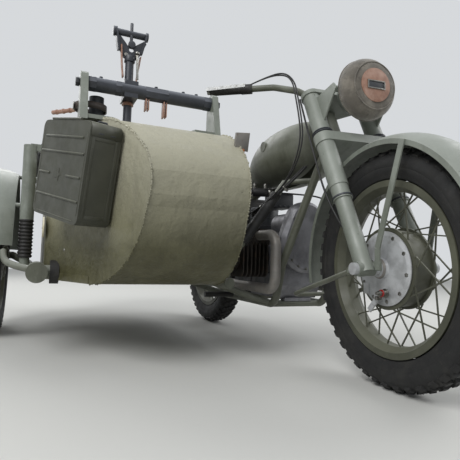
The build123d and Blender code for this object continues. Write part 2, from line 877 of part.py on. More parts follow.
def spare_wheel(parts):
    centre = deck_plane.from_local_coords(Vector(spare_along, 0, spare_height))
    # the wheel's own axle, its Y, points along the deck's normal
    move = Plane(origin=centre, x_dir=deck_plane.x_dir, z_dir=-deck_plane.y_dir).location
    parts["spare_tyre"] = [move * tyre()]
    parts["spare_wheel"] = [move * rim(), move * hub()] + [move * spoke for spoke in spokes()]
    top = spare_height + hub_face
    base = 6 + soft_gap
    post = deck_rod(base, top + 26, axle_radius - 0.2) + deck_rod(base, base + 8, 62)
    post += deck_rod(base, spare_height - 12 - soft_gap, 26)
    nut = deck_rod(top + soft_gap, top + 18, 20) - deck_rod(base, top + 40, axle_radius - 0.2)
    parts["spare_carrier"] = [post, nut]


def sidecar_seat():
    seat_mid = seat_base_top + soft_gap + seat_height / 2
    base = at(290, (body_inner_y + body_outer_y) / 2, seat_mid) * Box(400, 500, seat_height)
    base = fillet(base.edges().filter_by(Axis.Z), 40)
    return fillet(base.faces().sort_by(Axis.Z)[-1].edges(), 26)


def sidecar_backrest():
    y0, y1 = body_outer_y + 40, body_inner_y - 40
    rear = cockpit_rear_x + soft_gap
    low = seat_base_top + seat_height + 2 * soft_gap
    points = [(rear + 10, low), (rear + 92, low), (rear + 44, 880), (rear + 16, 904), (rear, 880)]
    return fillet(prism_y(points, y0, y1).edges().filter_by(Axis.Y), 12)


sleeve_y = body_outer_y - 25
sleeve_start_x = 660
sleeve_front_x = 880
sleeve_z = 295
rear_tube_x = -200
rear_tube_z = 235
inner_tube_y = -336
arm_pivot_x = 615


@cache
def sidecar_frame():
    frame = pipe([
        (1000, inner_tube_y, 272),
        (front_tube_x, inner_tube_y, 272),
        (rear_tube_x, inner_tube_y, rear_tube_z),
    ], 19, 300)
    frame += cylinder_y(front_tube_x, sleeve_y, inner_tube_y, front_tube_z, 24)
    frame += pipe([
        (rear_tube_x, inner_tube_y, rear_tube_z),
        (rear_tube_x, sleeve_y, rear_tube_z),
        (front_tube_x - 250, sleeve_y, sleeve_z),
        (front_tube_x, sleeve_y, sleeve_z),
    ], 17, 70)
    frame += rod((sleeve_start_x, sleeve_y, sleeve_z), (sleeve_front_x, sleeve_y, sleeve_z), 33)
    frame += prism_y([(905, 276), (996, 268), (992, 350), (964, 356)], inner_tube_y - 4, inner_tube_y + 4)
    return frame


def body_grommets():
    solids = []
    tube = cylinder_y(front_tube_x, -1200, -100, front_tube_z, 24)
    shell = body_block() - body_block(body_wall) - cylinder_y(front_tube_x, -1000, -300, front_tube_z, 30)
    outer_face = side_y(front_tube_x)
    for low, high in ((body_inner_y - 10, inner_tube_y - 22), (outer_face - 16, outer_face + 14)):
        solids.append(cylinder_y(front_tube_x, low, high, front_tube_z, 42) - tube - shell)
    base_top = ground_clearance - soft_gap
    for y in (body_inner_y - 80, body_outer_y + 80):
        pad = rod((rear_tube_x, y, rear_tube_z), (rear_tube_x, y, base_top), 24)
        solids.append(pad - cylinder_y(rear_tube_x, -1000, -300, rear_tube_z, 17))
    return solids


def sidecar_struts():
    solids = []
    rails = frame_cradle() + sidecar_frame()
    # start on the motorcycle's frame, end on the sidecar's inner tube
    table = [
        ((900, -rail_half_spacing, rail_height), (760, inner_tube_y, 272)),
        ((430, -rail_half_spacing, rail_height), (430, inner_tube_y, 262)),
        ((408, -70, 600), (60, inner_tube_y, 248)),
        (strut_lug, (978, inner_tube_y, 345)),
    ]
    for start, end in table:
        strut = rod(start, end, 13) - rails
        solids.append(strut.solids().sort_by(SortBy.VOLUME)[-1])
    return solids


@cache
def wheel_arm():
    y = sleeve_y
    arm = pipe([
        (arm_pivot_x, y, sleeve_z),
        (480, y - 10, 300),
        (300, y - 40, 318),
        (sidecar_wheel_lead, -1054, tyre_radius),
    ], 16, 60)
    arm += cylinder_y(shock_x, shock_y - 14, sleeve_y, 312, 8)
    arm += rod((arm_pivot_x - 34, y, sleeve_z), (sleeve_start_x - soft_gap, y, sleeve_z), 23.5)
    frame = sidecar_frame()
    return (arm - frame) - cylinder_y(sidecar_wheel_lead, -1300, -900, tyre_radius, axle_radius)


def sidecar_spindle():
    spindle = cylinder_y(sidecar_wheel_lead, -track - 62, -1036, tyre_radius, axle_radius)
    return spindle + cylinder_y(sidecar_wheel_lead, -track + hub_face + 0.4, -1054, tyre_radius, 16)


sidecar_fender_half = 85


def sidecar_fender():
    shell = fender((sidecar_wheel_lead, -track, tyre_radius), sidecar_fender_half, tyre_radius + 48,
                   tyre_radius + 26, 176, 6)
    return shell


def fender_brackets():
    inner = -track + sidecar_fender_half
    frame = sidecar_frame()
    body = body_block()
    brackets = []
    # along, height at the sidecar, at the fender
    for x, low_z, x_top, high_z in ((-170, 238, -228, 408),):
        end = (x_top, inner + soft_gap, high_z)
        strut = rod((x, sleeve_y, low_z), end, 9) - frame
        brackets.append(strut.solids().sort_by(SortBy.VOLUME)[-1])
    for x, z in ((150, 706), (430, 550)):
        brackets.append(rod((x, body_outer_y, z), (x, inner + soft_gap, z), 9) - body)
    return brackets


shock_x = 474
shock_y = -1000


def sidecar_shock():
    frame = sidecar_frame()
    arm = wheel_arm()
    leg = shock(shock_x, shock_y, 300, 790, 26)
    hanger = prism_y([(shock_x - 14, 768), (shock_x + 14, 768), (shock_x + 14, 796), (shock_x - 14, 796)],
                     shock_y, body_outer_y)
    return [leg - arm - frame, hanger - leg - body_block()]


def equipment_box_plane():
    front = Vector(box_front_x, side_y(box_front_x) - box_gap / math.cos(math.atan(nose_taper)), 0)
    back = Vector(-1, -nose_taper, 0).normalized()
    tilt = math.radians(box_tilt)
    along = back * math.cos(tilt) + Vector(0, 0, math.sin(tilt))
    outward = Vector(-back.Y, back.X, 0) * -1
    outward = outward if outward.Y < 0 else outward * -1
    origin = Vector(front.X, front.Y, box_front_top_z)
    return Plane(origin=origin, x_dir=along, z_dir=outward)


def box_solid(inset=0.0):
    plane = equipment_box_plane()
    down = -1 if plane.y_dir.Z > 0 else 1
    block = Box(box_length - 2 * inset, box_height - 2 * inset, box_thickness - 2 * inset,
                align=(Align.MIN, Align.CENTER, Align.MIN))
    block = fillet(block.edges().filter_by(Axis.Z), 24 - inset)
    return plane * (Pos(inset, down * box_height / 2, inset) * block)


cover_depth = 34
cover_side = 5
box_pin = 2.2


def box_block(along, depth, out, size):
    plane = equipment_box_plane()
    down = -1 if plane.y_dir.Z > 0 else 1
    length, height, thick = size
    block = Box(length, height, thick, align=(Align.MIN, Align.CENTER, Align.MIN))
    return plane * (Pos(along, down * (depth + height / 2), out) * block)


def box_rod(start, end, depth, out, radius):
    plane = equipment_box_plane()
    down = -1 if plane.y_dir.Z > 0 else 1
    low = plane.from_local_coords(Vector(start, down * depth, out))
    high = plane.from_local_coords(Vector(end, down * depth, out))
    return rod(tuple(low), tuple(high), radius)


def cover_region(gap):
    size = (box_length + 20, cover_depth + 10 - gap, box_thickness - cover_side + 10 - gap)
    return box_block(-10, -10, -10, size)


hinge_out = box_thickness - 1
hinge_depth = -4.6


def equipment_box():
    shell = box_solid() - box_solid(3) - cover_region(0)
    for start, end in ((60, 100), (box_length - 100, box_length - 60)):
        knuckle = box_rod(start, end, hinge_depth, hinge_out, 4)
        shell += knuckle + box_block(start, hinge_depth, hinge_out - 1, (end - start, 6, 2))
    return shell + box_rod(60, box_length - 60, hinge_depth, hinge_out, box_pin)


def box_lid():
    cover = (box_solid() - box_solid(3)) & cover_region(2 * soft_gap)
    start, end = 100 + soft_gap, box_length - 100 - soft_gap
    leaf = box_block(start, -2.2, hinge_out - 28, (end - start, 2.6, 22))
    leaf += box_block(start, -2.2, hinge_out - 28, (end - start, 1.6, 28))
    knuckle = box_rod(start, end, hinge_depth, hinge_out, 4)
    return cover + leaf + knuckle - box_rod(50, box_length - 50, hinge_depth, hinge_out, box_pin + pin_gap)


def box_brackets():
    plane = equipment_box_plane()
    down = -1 if plane.y_dir.Z > 0 else 1
    strips = []
    body = body_block()
    for along in (50, 250):
        strip = plane * (Pos(along, down * 150, -0.1) * Box(30, 250, 16, align=(
            Align.CENTER, Align.CENTER, Align.MAX)))
        strips.append(strip - body)
    return strips


def upright(y_low, y_high):
    return prism_y([(870, 790), (968, 790), (928, 952), (918, 960), (884, 960), (872, 950)], y_low, y_high)


upright_inner_y = (-396, -374)
upright_outer_y = (-857, -833)


def uprights():
    body = body_block()
    bore = cylinder_y(crossbar_x, -900, -300, crossbar_height, 12)
    plates = []
    # the plate, and how far its foot reaches over the cowl
    for (low, high), foot_low, foot_high in ((upright_inner_y, -470, -374), (upright_outer_y, -857, -752)):
        foot = prism_y([(874, 795), (962, 795), (962, 808), (874, 821)], foot_low, foot_high)
        plates.append(upright(low, high) + foot - body - bore)
    return plates


def crossbar():
    beam = cylinder_y(crossbar_x, upright_outer_y[1] + 0.1, upright_inner_y[0] - 0.1, crossbar_height,
                      crossbar_radius)
    bolt = cylinder_y(crossbar_x, upright_outer_y[0] - 12, upright_inner_y[1] + 12, crossbar_height, 12)
    return beam + bolt


post_x = crossbar_x - crossbar_radius - post_radius - 6
post_y = -690


def post_clamp():
    block = at((crossbar_x + post_x) / 2 - 4, post_y, crossbar_height) * Box(92, 46, 58)
    block -= cylinder_y(crossbar_x, -900, -300, crossbar_height, crossbar_radius)
    block -= rod((post_x, post_y, 600), (post_x, post_y, 1200), post_radius + pin_gap)
    return block


def mount_post():
    body = body_block()
    post = rod((post_x, post_y, 780), (post_x, post_y, post_top_height), post_radius)
    return post - body


cradle_base = Vector(post_x, post_y, post_top_height + soft_gap)


cradle_hole_height = 34


def cradle():
    points = [(-16, 0), (16, 0), (30, 34), (62, 96), (62, 122), (44, 122), (4, 56), (-4, 56), (-44, 122),
              (-62, 122), (-62, 96), (-30, 34)]
    plane = Plane(origin=cradle_base, x_dir=(0, 1, 0), z_dir=(1, 0, 0))
    fork = plane * extrude(make_face(Polyline(*points, close=True).edges()), amount=16, both=True)
    shaft = rod(cradle_base + Vector(0, -64, 106), cradle_base + Vector(0, 64, 106), 8)
    pin = rod(cradle_base + Vector(0, 0, 100), cradle_base + Vector(0, 0, 142), 6)
    socket = rod(cradle_base, cradle_base + Vector(0, 0, 22), 19)
    hole = rod(cradle_base + Vector(-40, 0, cradle_hole_height), cradle_base + Vector(40, 0, cradle_hole_height), 7)
    return fork + shaft + pin + socket - hole


def flask():
    return rod((846, -795, 800), (846, -795, 902), 25) - body_block()


def hatchet():
    y = body_inner_y + 7 + soft_gap
    handle = bar((1080, y, 560), (1120, y, 720), 26, 14)
    head = bar((1120, y, 721), (1128, y, 770), 52, 14)
    return [handle, head]


steered = {}
parts = {}

place_wheel("front", front_axle, steered)
steered["fork_leg_left"] = [fork_leg(1)]
steered["fork_leg_right"] = [fork_leg(-1)]
steered["fork_yokes"] = [fork_yokes()] + bar_clamps()
steered["front_brake"] = [front_brake(), front_spindle()]
steered["front_fender"] = [front_fender()] + front_fender_stays()
steered["headlamp"] = [headlamp()] + headlamp_ears()
steered["headlamp_cover"] = [headlamp_cover()]
steered["handlebar"] = [handlebar()]
steered["grips"] = grips()
steered["hand_levers"] = hand_levers()
steered["front_stand"] = [front_stand()]

place_wheel("rear", (0, 0, tyre_radius), parts)
place_wheel("sidecar", (sidecar_wheel_lead, -track, tyre_radius), parts)
parts["frame_spine"] = [frame_spine()]
parts["frame_cradle"] = [frame_cradle()]
parts["rear_frame"] = [rear_frame()]
parts["swing_arm"] = [swing_arm()]
parts["rear_shocks"] = rear_shocks()
parts["engine"] = [engine_block()]
parts["gearbox"] = [gearbox()]
parts["cylinders"] = [cylinder(-1), cylinder(1)]
parts["carburettors"] = [carburettor(-1), carburettor(1)]
parts["exhausts"] = [exhaust(-1), exhaust(1)]
parts["final_drive"] = [final_drive(), drive_shaft(), rear_spindle()]
parts["fuel_tank"] = fuel_tank()
parts["saddles"] = [saddle(560, 742), saddle(210, 782)]
parts["saddle_springs"] = saddle_springs()
parts["rear_fender"] = [rear_fender()]
parts["footrests"] = [footrest(-1), footrest(1), stand_axle()]
parts["centre_stand"] = [centre_stand()]

parts["sidecar_body"] = [sidecar_body()]
parts["body_inner"] = body_inner()
parts["boot_lid"] = [boot_lid()]
parts["lid_hinge_leaves"] = lid_hinge_leaves()
parts["sidecar_seat"] = [sidecar_seat()]
parts["sidecar_backrest"] = [sidecar_backrest()]
parts["sidecar_frame"] = [sidecar_frame()]
parts["body_grommets"] = body_grommets()
parts["sidecar_struts"] = sidecar_struts()
parts["wheel_arm"] = [wheel_arm(), sidecar_spindle()]
parts["sidecar_shock"] = sidecar_shock()
parts["sidecar_fender"] = [sidecar_fender()] + fender_brackets()
spare_wheel(parts)
parts["equipment_box"] = [equipment_box()] + box_brackets()
parts["equipment_box_lid"] = [box_lid()]
parts["uprights"] = uprights()
parts["crossbar"] = [crossbar(), post_clamp()]
parts["mount_post"] = [mount_post()]
parts["cradle"] = [cradle()]
parts["flask"] = [flask()]
parts["hatchet"] = hatchet()

for name, solids in steered.items():
    parts[name] = [solid.rotate(steering_axis, steering_rest_angle) for solid in solids]

# The origin goes to the middle of the whole outfit's footprint, on the ground
box = Compound([solid for solids in parts.values() for solid in solids]).bounding_box()
to_origin = Pos(-(box.min.X + box.max.X) / 2, -(box.min.Y + box.max.Y) / 2, -box.min.Z)

os.makedirs("parts", exist_ok=True)
for name, solids in parts.items():
    flat = []
    for solid in solids:
        flat += list((to_origin * solid).solids())
    export_step(Compound(children=flat), f"parts/{name}.step")
    print(name, len(flat), "solids")
print("rear axle at", -(box.min.X + box.max.X) / 2, -(box.min.Y + box.max.Y) / 2)
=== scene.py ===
"""Looks of a 1950s military sidecar outfit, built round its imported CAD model."""
from __future__ import annotations

import logging
import math
import random
from collections.abc import Iterable
from dataclasses import dataclass
from enum import Enum

import bmesh
import bpy
from mathutils import Matrix, Vector


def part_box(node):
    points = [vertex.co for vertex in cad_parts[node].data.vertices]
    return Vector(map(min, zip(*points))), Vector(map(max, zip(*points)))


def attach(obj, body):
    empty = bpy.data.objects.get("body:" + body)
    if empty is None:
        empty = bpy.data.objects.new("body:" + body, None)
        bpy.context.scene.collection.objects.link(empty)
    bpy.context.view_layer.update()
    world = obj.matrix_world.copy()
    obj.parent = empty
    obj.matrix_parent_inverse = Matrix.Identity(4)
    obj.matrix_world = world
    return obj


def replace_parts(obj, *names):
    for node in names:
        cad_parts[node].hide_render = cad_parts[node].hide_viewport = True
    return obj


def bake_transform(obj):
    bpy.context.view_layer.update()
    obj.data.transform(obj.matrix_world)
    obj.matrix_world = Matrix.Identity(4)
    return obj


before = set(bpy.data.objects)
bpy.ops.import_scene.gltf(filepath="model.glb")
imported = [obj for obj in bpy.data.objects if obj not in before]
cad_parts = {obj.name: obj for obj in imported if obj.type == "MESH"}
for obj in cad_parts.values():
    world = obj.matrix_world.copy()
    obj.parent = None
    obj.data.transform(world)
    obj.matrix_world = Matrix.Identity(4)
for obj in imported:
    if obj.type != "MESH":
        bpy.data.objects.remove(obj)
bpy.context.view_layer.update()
LOG = logging.getLogger("outfit")

TYRE_LOW, TYRE_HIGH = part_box("rear_tyre")
# The CAD is drawn from the rear axle; the row frame starts at the footprint's middle
DATUM = Vector(((TYRE_LOW.x + TYRE_HIGH.x) / 2, (TYRE_LOW.y + TYRE_HIGH.y) / 2, 0.0))
STEER_ORIGIN = (1370.286, 0.0, 313.438)
RAKE = math.radians(26)
STEER_AXIS = Vector((-math.sin(RAKE), 0.0, math.cos(RAKE)))
STEER_REST = math.radians(-3.4)
# The sidecar body's outer side runs from the nose's tip outwards, this much across for each unit to the rear
TAPER = 0.42
NOSE_X, NOSE_OUTER_Y, BODY_OUTER_Y = 1212, -680, -930
TAPER_LENGTH = math.hypot(1, TAPER)
TAPER_OUT = Vector((TAPER, -1, 0))
SHARP_ANGLE = math.radians(35)


def mm(x: float, y: float, z: float) -> Vector:
    """Turns a drawing point in millimetres into the row frame in metres."""
    return Vector((x, y, z)) / 1000 + DATUM


def turn_with_fork() -> Matrix:
    """Gives the turn that takes a fork drawn straight ahead to its parked angle.

    Returns:
        A turn of the row frame about the steering axis.
    """
    pivot = mm(*STEER_ORIGIN)
    turn = Matrix.Rotation(STEER_REST, 4, STEER_AXIS)
    return Matrix.Translation(pivot) @ turn @ Matrix.Translation(-pivot)


FORK_TURN = turn_with_fork()


def linear(code: str) -> tuple[float, float, float, float]:
    """Turns an sRGB hex colour into the linear values a shader takes.

    Args:
        code: The colour, written #rrggbb.

    Returns:
        Red, green, blue and a full alpha.
    """
    channels = [int(code[i:i + 2], 16) / 255 for i in (1, 3, 5)]
    values = [c / 12.92 if c <= 0.04045 else ((c + 0.055) / 1.055) ** 2.4 for c in channels]
    return (values[0], values[1], values[2], 1.0)


def add_node(tree: bpy.types.NodeTree, kind: str, settings: dict | None = None,
             inputs: dict | None = None) -> bpy.types.Node:
    """Adds a shader node.

    Args:
        tree: The material's node tree.
        kind: The node's type name.
        settings: Attributes to set on the node.
        inputs: Values or output sockets for its inputs, by name or index.

    Returns:
        The new node.
    """
    node = tree.nodes.new(kind)
    for key, value in (settings or {}).items():
        setattr(node, key, value)
    for key, value in (inputs or {}).items():
        if isinstance(value, bpy.types.NodeSocket):
            tree.links.new(value, node.inputs[key])
        else:
            node.inputs[key].default_value = value
    return node


class Pattern(Enum):
    """How a layer or relief is spread over a surface."""

    CLOUD = "soft blotches"
    STREAK = "runs that hang down"
    CELLS = "small cells"
    WEAVE = "crossed threads"
    GRAIN = "long fibres"
    SPOTS = "scattered specks"
    SKYWARD = "faces that look up"
    HEIGHT = "metres over the ground"


def pattern_value(tree: bpy.types.NodeTree, coords: bpy.types.NodeSocket, pattern: Pattern,
                  size_mm: float, seed: float) -> bpy.types.NodeSocket:
    """Builds the grey value of a pattern.

    Args:
        tree: The material's node tree.
        coords: Object coordinates.
        pattern: The kind of pattern.
        size_mm: Width of one blotch, cell, thread or fibre.
        seed: Shift that keeps layers from repeating each other.

    Returns:
        A socket with values from 0 to 1.
    """
    if pattern in (Pattern.SKYWARD, Pattern.HEIGHT):
        output = "Normal" if pattern is Pattern.SKYWARD else "Object"
        vector = add_node(tree, "ShaderNodeTexCoord").outputs[output]
        return add_node(tree, "ShaderNodeSeparateXYZ", {}, {0: vector}).outputs["Z"]
    scale = 1000.0 / size_mm
    stretch = {Pattern.STREAK: (1.0, 1.0, 0.18), Pattern.GRAIN: (1.0, 1.0, 0.06)}.get(pattern, (1, 1, 1))
    place = add_node(tree, "ShaderNodeMapping", {"vector_type": "POINT"},
                     {"Vector": coords, "Location": (seed, seed * 0.7, seed * 0.3), "Scale": stretch})
    where = place.outputs["Vector"]
    if pattern is Pattern.WEAVE:
        threads = []
        for direction in ("X", "Z"):
            wave = add_node(tree, "ShaderNodeTexWave",
                            {"wave_type": "BANDS", "bands_direction": direction, "wave_profile": "SIN"},
                            {"Vector": where, "Scale": scale / math.tau * 2, "Distortion": 0.6,
                             "Detail": 1.0, "Detail Scale": 2.0})
            threads.append(wave.outputs["Fac"])
        return add_node(tree, "ShaderNodeMath", {"operation": "MAXIMUM"},
                        {0: threads[0], 1: threads[1]}).outputs[0]
    if pattern is Pattern.CELLS:
        return add_node(tree, "ShaderNodeTexVoronoi", {"feature": "SMOOTH_F1"},
                        {"Vector": where, "Scale": scale}).outputs["Distance"]
    detail = 6.0 if pattern is Pattern.SPOTS else 4.0
    return add_node(tree, "ShaderNodeTexNoise", {},
                    {"Vector": where, "Scale": scale, "Detail": detail, "Roughness": 0.6}).outputs["Fac"]


@dataclass(frozen=True)
class Layer:
    """A second colour that shows where a pattern passes a threshold."""

    colour: str
    pattern: Pattern
    size_mm: float
    low: float
    high: float
    amount: float = 1.0


@dataclass(frozen=True)
class Relief:
    """A fine unevenness of a surface."""

    pattern: Pattern
    size_mm: float
    height_mm: float
    strength: float = 1.0


@dataclass(frozen=True)
class Finish:
    """A surface finish, from its base colour up through its layers."""

    name: str
    base: str
    layers: tuple[Layer, ...] = ()
    reliefs: tuple[Relief, ...] = ()
    rough: tuple[float, float] = (0.5, 0.7)
    metallic: float = 0.0
    sheen: float = 0.0
    coat: float = 0.0
    # the record's material slot, for pieces that aren't CAD nodes
    slot: str = ""

    def material(self) -> bpy.types.Material:
        """Builds the material once and gives the same one after that.

        Returns:
            The material.
        """
        made = bpy.data.materials.get(self.name)
        if made:
            return made
        made = bpy.data.materials.new(self.name)
        made.use_nodes = True
        tree = made.node_tree
        tree.nodes.clear()
        coords = add_node(tree, "ShaderNodeTexCoord").outputs["Object"]
        colour: tuple[float, ...] | bpy.types.NodeSocket = linear(self.base)
        for index, layer in enumerate(self.layers):
            value = pattern_value(tree, coords, layer.pattern, layer.size_mm, 1.7 * index + 0.4)
            mask = add_node(tree, "ShaderNodeMapRange", {"clamp": True}, {
                "Value": value, "From Min": layer.low, "From Max": layer.high, "To Max": layer.amount})
            mix = add_node(tree, "ShaderNodeMix", {"data_type": "RGBA"}, {
                0: mask.outputs[0], 6: colour, 7: linear(layer.colour)})
            colour = mix.outputs[2]
        shader = add_node(tree, "ShaderNodeBsdfPrincipled", {}, {
            "Base Color": colour, "Metallic": self.metallic, "Sheen Weight": self.sheen,
            "Coat Weight": self.coat})
        cloud = pattern_value(tree, coords, Pattern.CLOUD, 38.0, 5.3)
        gloss = add_node(tree, "ShaderNodeMapRange", {"clamp": True}, {
            "Value": cloud, "From Min": 0.35, "From Max": 0.65,
            "To Min": self.rough[0], "To Max": self.rough[1]})
        tree.links.new(gloss.outputs[0], shader.inputs["Roughness"])
        normal = None
        for index, relief in enumerate(self.reliefs):
            value = pattern_value(tree, coords, relief.pattern, relief.size_mm, 2.9 * index + 1.1)
            inputs = {"Height": value, "Distance": relief.height_mm / 1000, "Strength": relief.strength}
            if normal:
                inputs["Normal"] = normal
            normal = add_node(tree, "ShaderNodeBump", {}, inputs).outputs[0]
        if normal:
            tree.links.new(normal, shader.inputs["Normal"])
        output = add_node(tree, "ShaderNodeOutputMaterial")
        tree.links.new(shader.outputs[0], output.inputs[0])
        return made


def enamel(name: str, base: str, faded: str, grime: str, dust_and_highlight: str, lumps_mm: float,
           rough: tuple[float, float], streaks: float = 0.5,
           sun: tuple[Pattern, float, float, float] = (Pattern.SKYWARD, 0.05, 0.95, 0.7),
           slot: str = "") -> Finish:
    """Describes brush-painted alkyd enamel on sheet steel: low gloss, faded patches, dusty runs, chips.

    Args:
        name: The finish's name.
        base: Colour of sound paint.
        faded: Colour of chalked paint.
        grime: Colour of dust and oil.
        dust_and_highlight: Colour of dust and sun-fading on what looks up, and of a painted highlight there,
            which lightens the tops as light from above would.
        lumps_mm: Height of the unevenness under the paint.
        rough: Least and greatest roughness.
        streaks: How much dirt has run down.
        sun: Pattern, start, end and strength of that dust and painted highlight.
        slot: The record's material slot.

    Returns:
        The finish.
    """
    return Finish(name, base, (
        Layer(faded, Pattern.CLOUD, 160, 0.42, 0.66, 0.75),
        Layer(grime, Pattern.STREAK, 34, 0.52, 0.74, streaks),
        Layer(faded, Pattern.CLOUD, 14, 0.56, 0.70, 0.35),
        # dust, and a painted highlight: what looks up, or on the body what stands higher, is lightened
        # towards a pale colour as light from above would light it
        Layer(dust_and_highlight, sun[0], 1, *sun[1:]),
        Layer("#2c2a20", Pattern.SPOTS, 9, 0.68, 0.72, 0.8)), (
        Relief(Pattern.CLOUD, 85, lumps_mm, 0.8),
        Relief(Pattern.CLOUD, 42, lumps_mm * 0.7, 0.9),
        Relief(Pattern.GRAIN, 5, 0.25, 0.35),
        Relief(Pattern.SPOTS, 2.4, 0.12, 0.5)), rough, slot=slot)


# Brushed enamel over beaten sheet steel: broad dents and brush strokes, with painted highlight and shade by
# height, pale on the cowl and darker towards the floor, as sky light from above falls on it
BODY_ENAMEL = enamel("beaten_body_enamel", "#4d4b33", "#66644a", "#36341f", "#c0bdaa", 9.0, (0.34, 0.54),
                     0.45, (Pattern.HEIGHT, 0.38, 0.82, 0.88), slot="body_paint")
# The same paint on pressed parts: flatter and greyer
OLIVE_ENAMEL = enamel("olive_pressed_enamel", "#54564a", "#6c6f63", "#3b3b32", "#91948b", 0.7, (0.40, 0.58),
                      slot="olive_paint")
# Paler grey-green repaint on the guards and the fork
FENDER_ENAMEL = enamel("grey_green_enamel", "#6c7168", "#868b83", "#50534a", "#a2a7a0", 0.9, (0.36, 0.52))
# Box paint, darker and more even
BOX_ENAMEL = enamel("box_enamel", "#393a31", "#46473d", "#2f2f27", "#6c6d60", 0.5, (0.42, 0.6), 0.3,
                    slot="olive_paint")
# Satin black-grey stove enamel on small fittings
DARK_ENAMEL = enamel("dark_stove_enamel", "#292b2e", "#3a3d42", "#1e1e1e", "#60636a", 0.3, (0.38, 0.55),
                      0.3, slot="dark_paint")
# Blue-grey primer coat of the stand over the cowl
BEAM_ENAMEL = enamel("blue_grey_primer", "#2c2f35", "#434750", "#202124", "#8b8f98", 0.4, (0.34, 0.5),
                     0.25, slot="dark_paint")
# Wheel paint with road film
WHEEL_ENAMEL = enamel("wheel_enamel", "#45463a", "#5a5b4c", "#2d2c25", "#6a6b5c", 0.3, (0.42, 0.62), 0.3)
# Sand-cast aluminium: sparkly grain, oil film in the hollows
CAST_ALLOY = Finish("sand_cast_alloy", "#86868a", (
    Layer("#66666a", Pattern.CLOUD, 60, 0.45, 0.65, 0.8),
    Layer("#3a3735", Pattern.STREAK, 18, 0.60, 0.78, 0.6)), (
    Relief(Pattern.SPOTS, 1.6, 0.25, 0.8), Relief(Pattern.CLOUD, 40, 0.6, 0.5)), (0.42, 0.62), 0.6)
# Machined alloy of the hub covers, dulled to grey with brown oil round the axle
HUB_ALLOY = Finish("dulled_hub_alloy", "#bcbec0", (
    Layer("#9b9c9d", Pattern.CLOUD, 45, 0.42, 0.62, 0.8),
    Layer("#5c5048", Pattern.SPOTS, 30, 0.64, 0.76, 0.5)), (
    Relief(Pattern.CLOUD, 25, 0.5, 0.5), Relief(Pattern.SPOTS, 1.8, 0.12, 0.5)), (0.38, 0.55), 0.3)
# Grey cast iron, dark with burnt oil
CAST_IRON = Finish("oily_cast_iron", "#3f3b37", (
    Layer("#5b4a3c", Pattern.CLOUD, 30, 0.5, 0.7, 0.6),
    Layer("#1d1a18", Pattern.SPOTS, 12, 0.5, 0.66, 0.7)), (
    Relief(Pattern.SPOTS, 2.0, 0.3, 0.8),), (0.5, 0.72), 0.6)
# Mild steel pipe, heat-stained brown and dusty
PIPE_STEEL = Finish("heat_stained_steel", "#7d7a76", (
    Layer("#918c85", Pattern.CLOUD, 50, 0.45, 0.65, 0.7),
    Layer("#64503f", Pattern.SPOTS, 14, 0.60, 0.74, 0.6)), (
    Relief(Pattern.SPOTS, 2.5, 0.2, 0.6),), (0.42, 0.66), 0.35, slot="pipe_steel")
# Zinc-plated fasteners gone dull
PLATED_STEEL = Finish("dull_plated_steel", "#8c8b86", (
    Layer("#5e5a52", Pattern.SPOTS, 8, 0.5, 0.68, 0.8),), (
    Relief(Pattern.SPOTS, 1.5, 0.08, 0.5),), (0.3, 0.5), 1.0, slot="bright_steel")
# Chrome on the hand levers, worn
WORN_CHROME = Finish("worn_chrome", "#8d8e8d", (
    Layer("#55524c", Pattern.SPOTS, 10, 0.55, 0.70, 0.8),), (
    Relief(Pattern.SPOTS, 3, 0.05, 0.4),), (0.3, 0.45), 0.85)
# Tyre rubber: charcoal, dusty in the tread
TYRE_RUBBER = Finish("road_worn_tyre_rubber", "#1b1b1b", (
    Layer("#2c2b28", Pattern.CLOUD, 55, 0.48, 0.7, 0.7),
    Layer("#57524a", Pattern.SPOTS, 7, 0.62, 0.76, 0.45)), (
    Relief(Pattern.SPOTS, 2.0, 0.25, 0.7), Relief(Pattern.CLOUD, 20, 0.3, 0.5)), (0.62, 0.85),
    slot="tyre_rubber")
# Moulded black rubber of grips, saddles and footrests
MOULDED_RUBBER = Finish("moulded_black_rubber", "#201f1e", (
    Layer("#3a3834", Pattern.CLOUD, 40, 0.5, 0.72, 0.6),), (
    Relief(Pattern.CELLS, 2.2, 0.15, 0.5),), (0.45, 0.68), slot="black_rubber")
# Upholstery leathercloth, dark with cracked highlights
DARK_LEATHER = Finish("cracked_dark_leather", "#2f2620", (
    Layer("#4b3c30", Pattern.CLOUD, 50, 0.48, 0.7, 0.7),
    Layer("#1a1512", Pattern.SPOTS, 9, 0.56, 0.7, 0.6)), (
    Relief(Pattern.CELLS, 3.0, 0.35, 0.7), Relief(Pattern.CLOUD, 30, 0.8, 0.4)), (0.4, 0.6), 0.0, 0.1,
    slot="dark_leather")
# Russet patch leather, sun-faded, with a fine pore
PATCH_LEATHER = Finish("faded_russet_leather", "#93705f", (
    Layer("#75513f", Pattern.CLOUD, 26, 0.45, 0.68, 0.7),
    Layer("#ad9183", Pattern.CLOUD, 60, 0.48, 0.66, 0.7)), (
    Relief(Pattern.CELLS, 1.8, 0.15, 0.6), Relief(Pattern.CLOUD, 18, 0.5, 0.4)), (0.48, 0.64),
    slot="dark_leather")
# Cotton duck, threads drawn at 2.6 mm so that they show: grey-brown with pale and dark blotches
COTTON_DUCK = Finish("faded_cotton_duck", "#5c574f", (
    Layer("#7b756b", Pattern.CLOUD, 45, 0.42, 0.62, 0.8),
    Layer("#3b3731", Pattern.CLOUD, 18, 0.56, 0.74, 0.7)), (
    Relief(Pattern.WEAVE, 2.6, 0.35, 0.8), Relief(Pattern.CLOUD, 34, 3.0, 0.7)), (0.82, 0.95), 0.0, 0.4,
    slot="canvas")
# Oiled ash handle, long grain
ASH_HANDLE = Finish("oiled_ash_handle", "#a05a2c", (
    Layer("#6b3517", Pattern.GRAIN, 6, 0.45, 0.65, 0.8),
    Layer("#c07c46", Pattern.CLOUD, 40, 0.5, 0.7, 0.5)), (
    Relief(Pattern.GRAIN, 4, 0.2, 0.6),), (0.4, 0.58), slot="hickory")
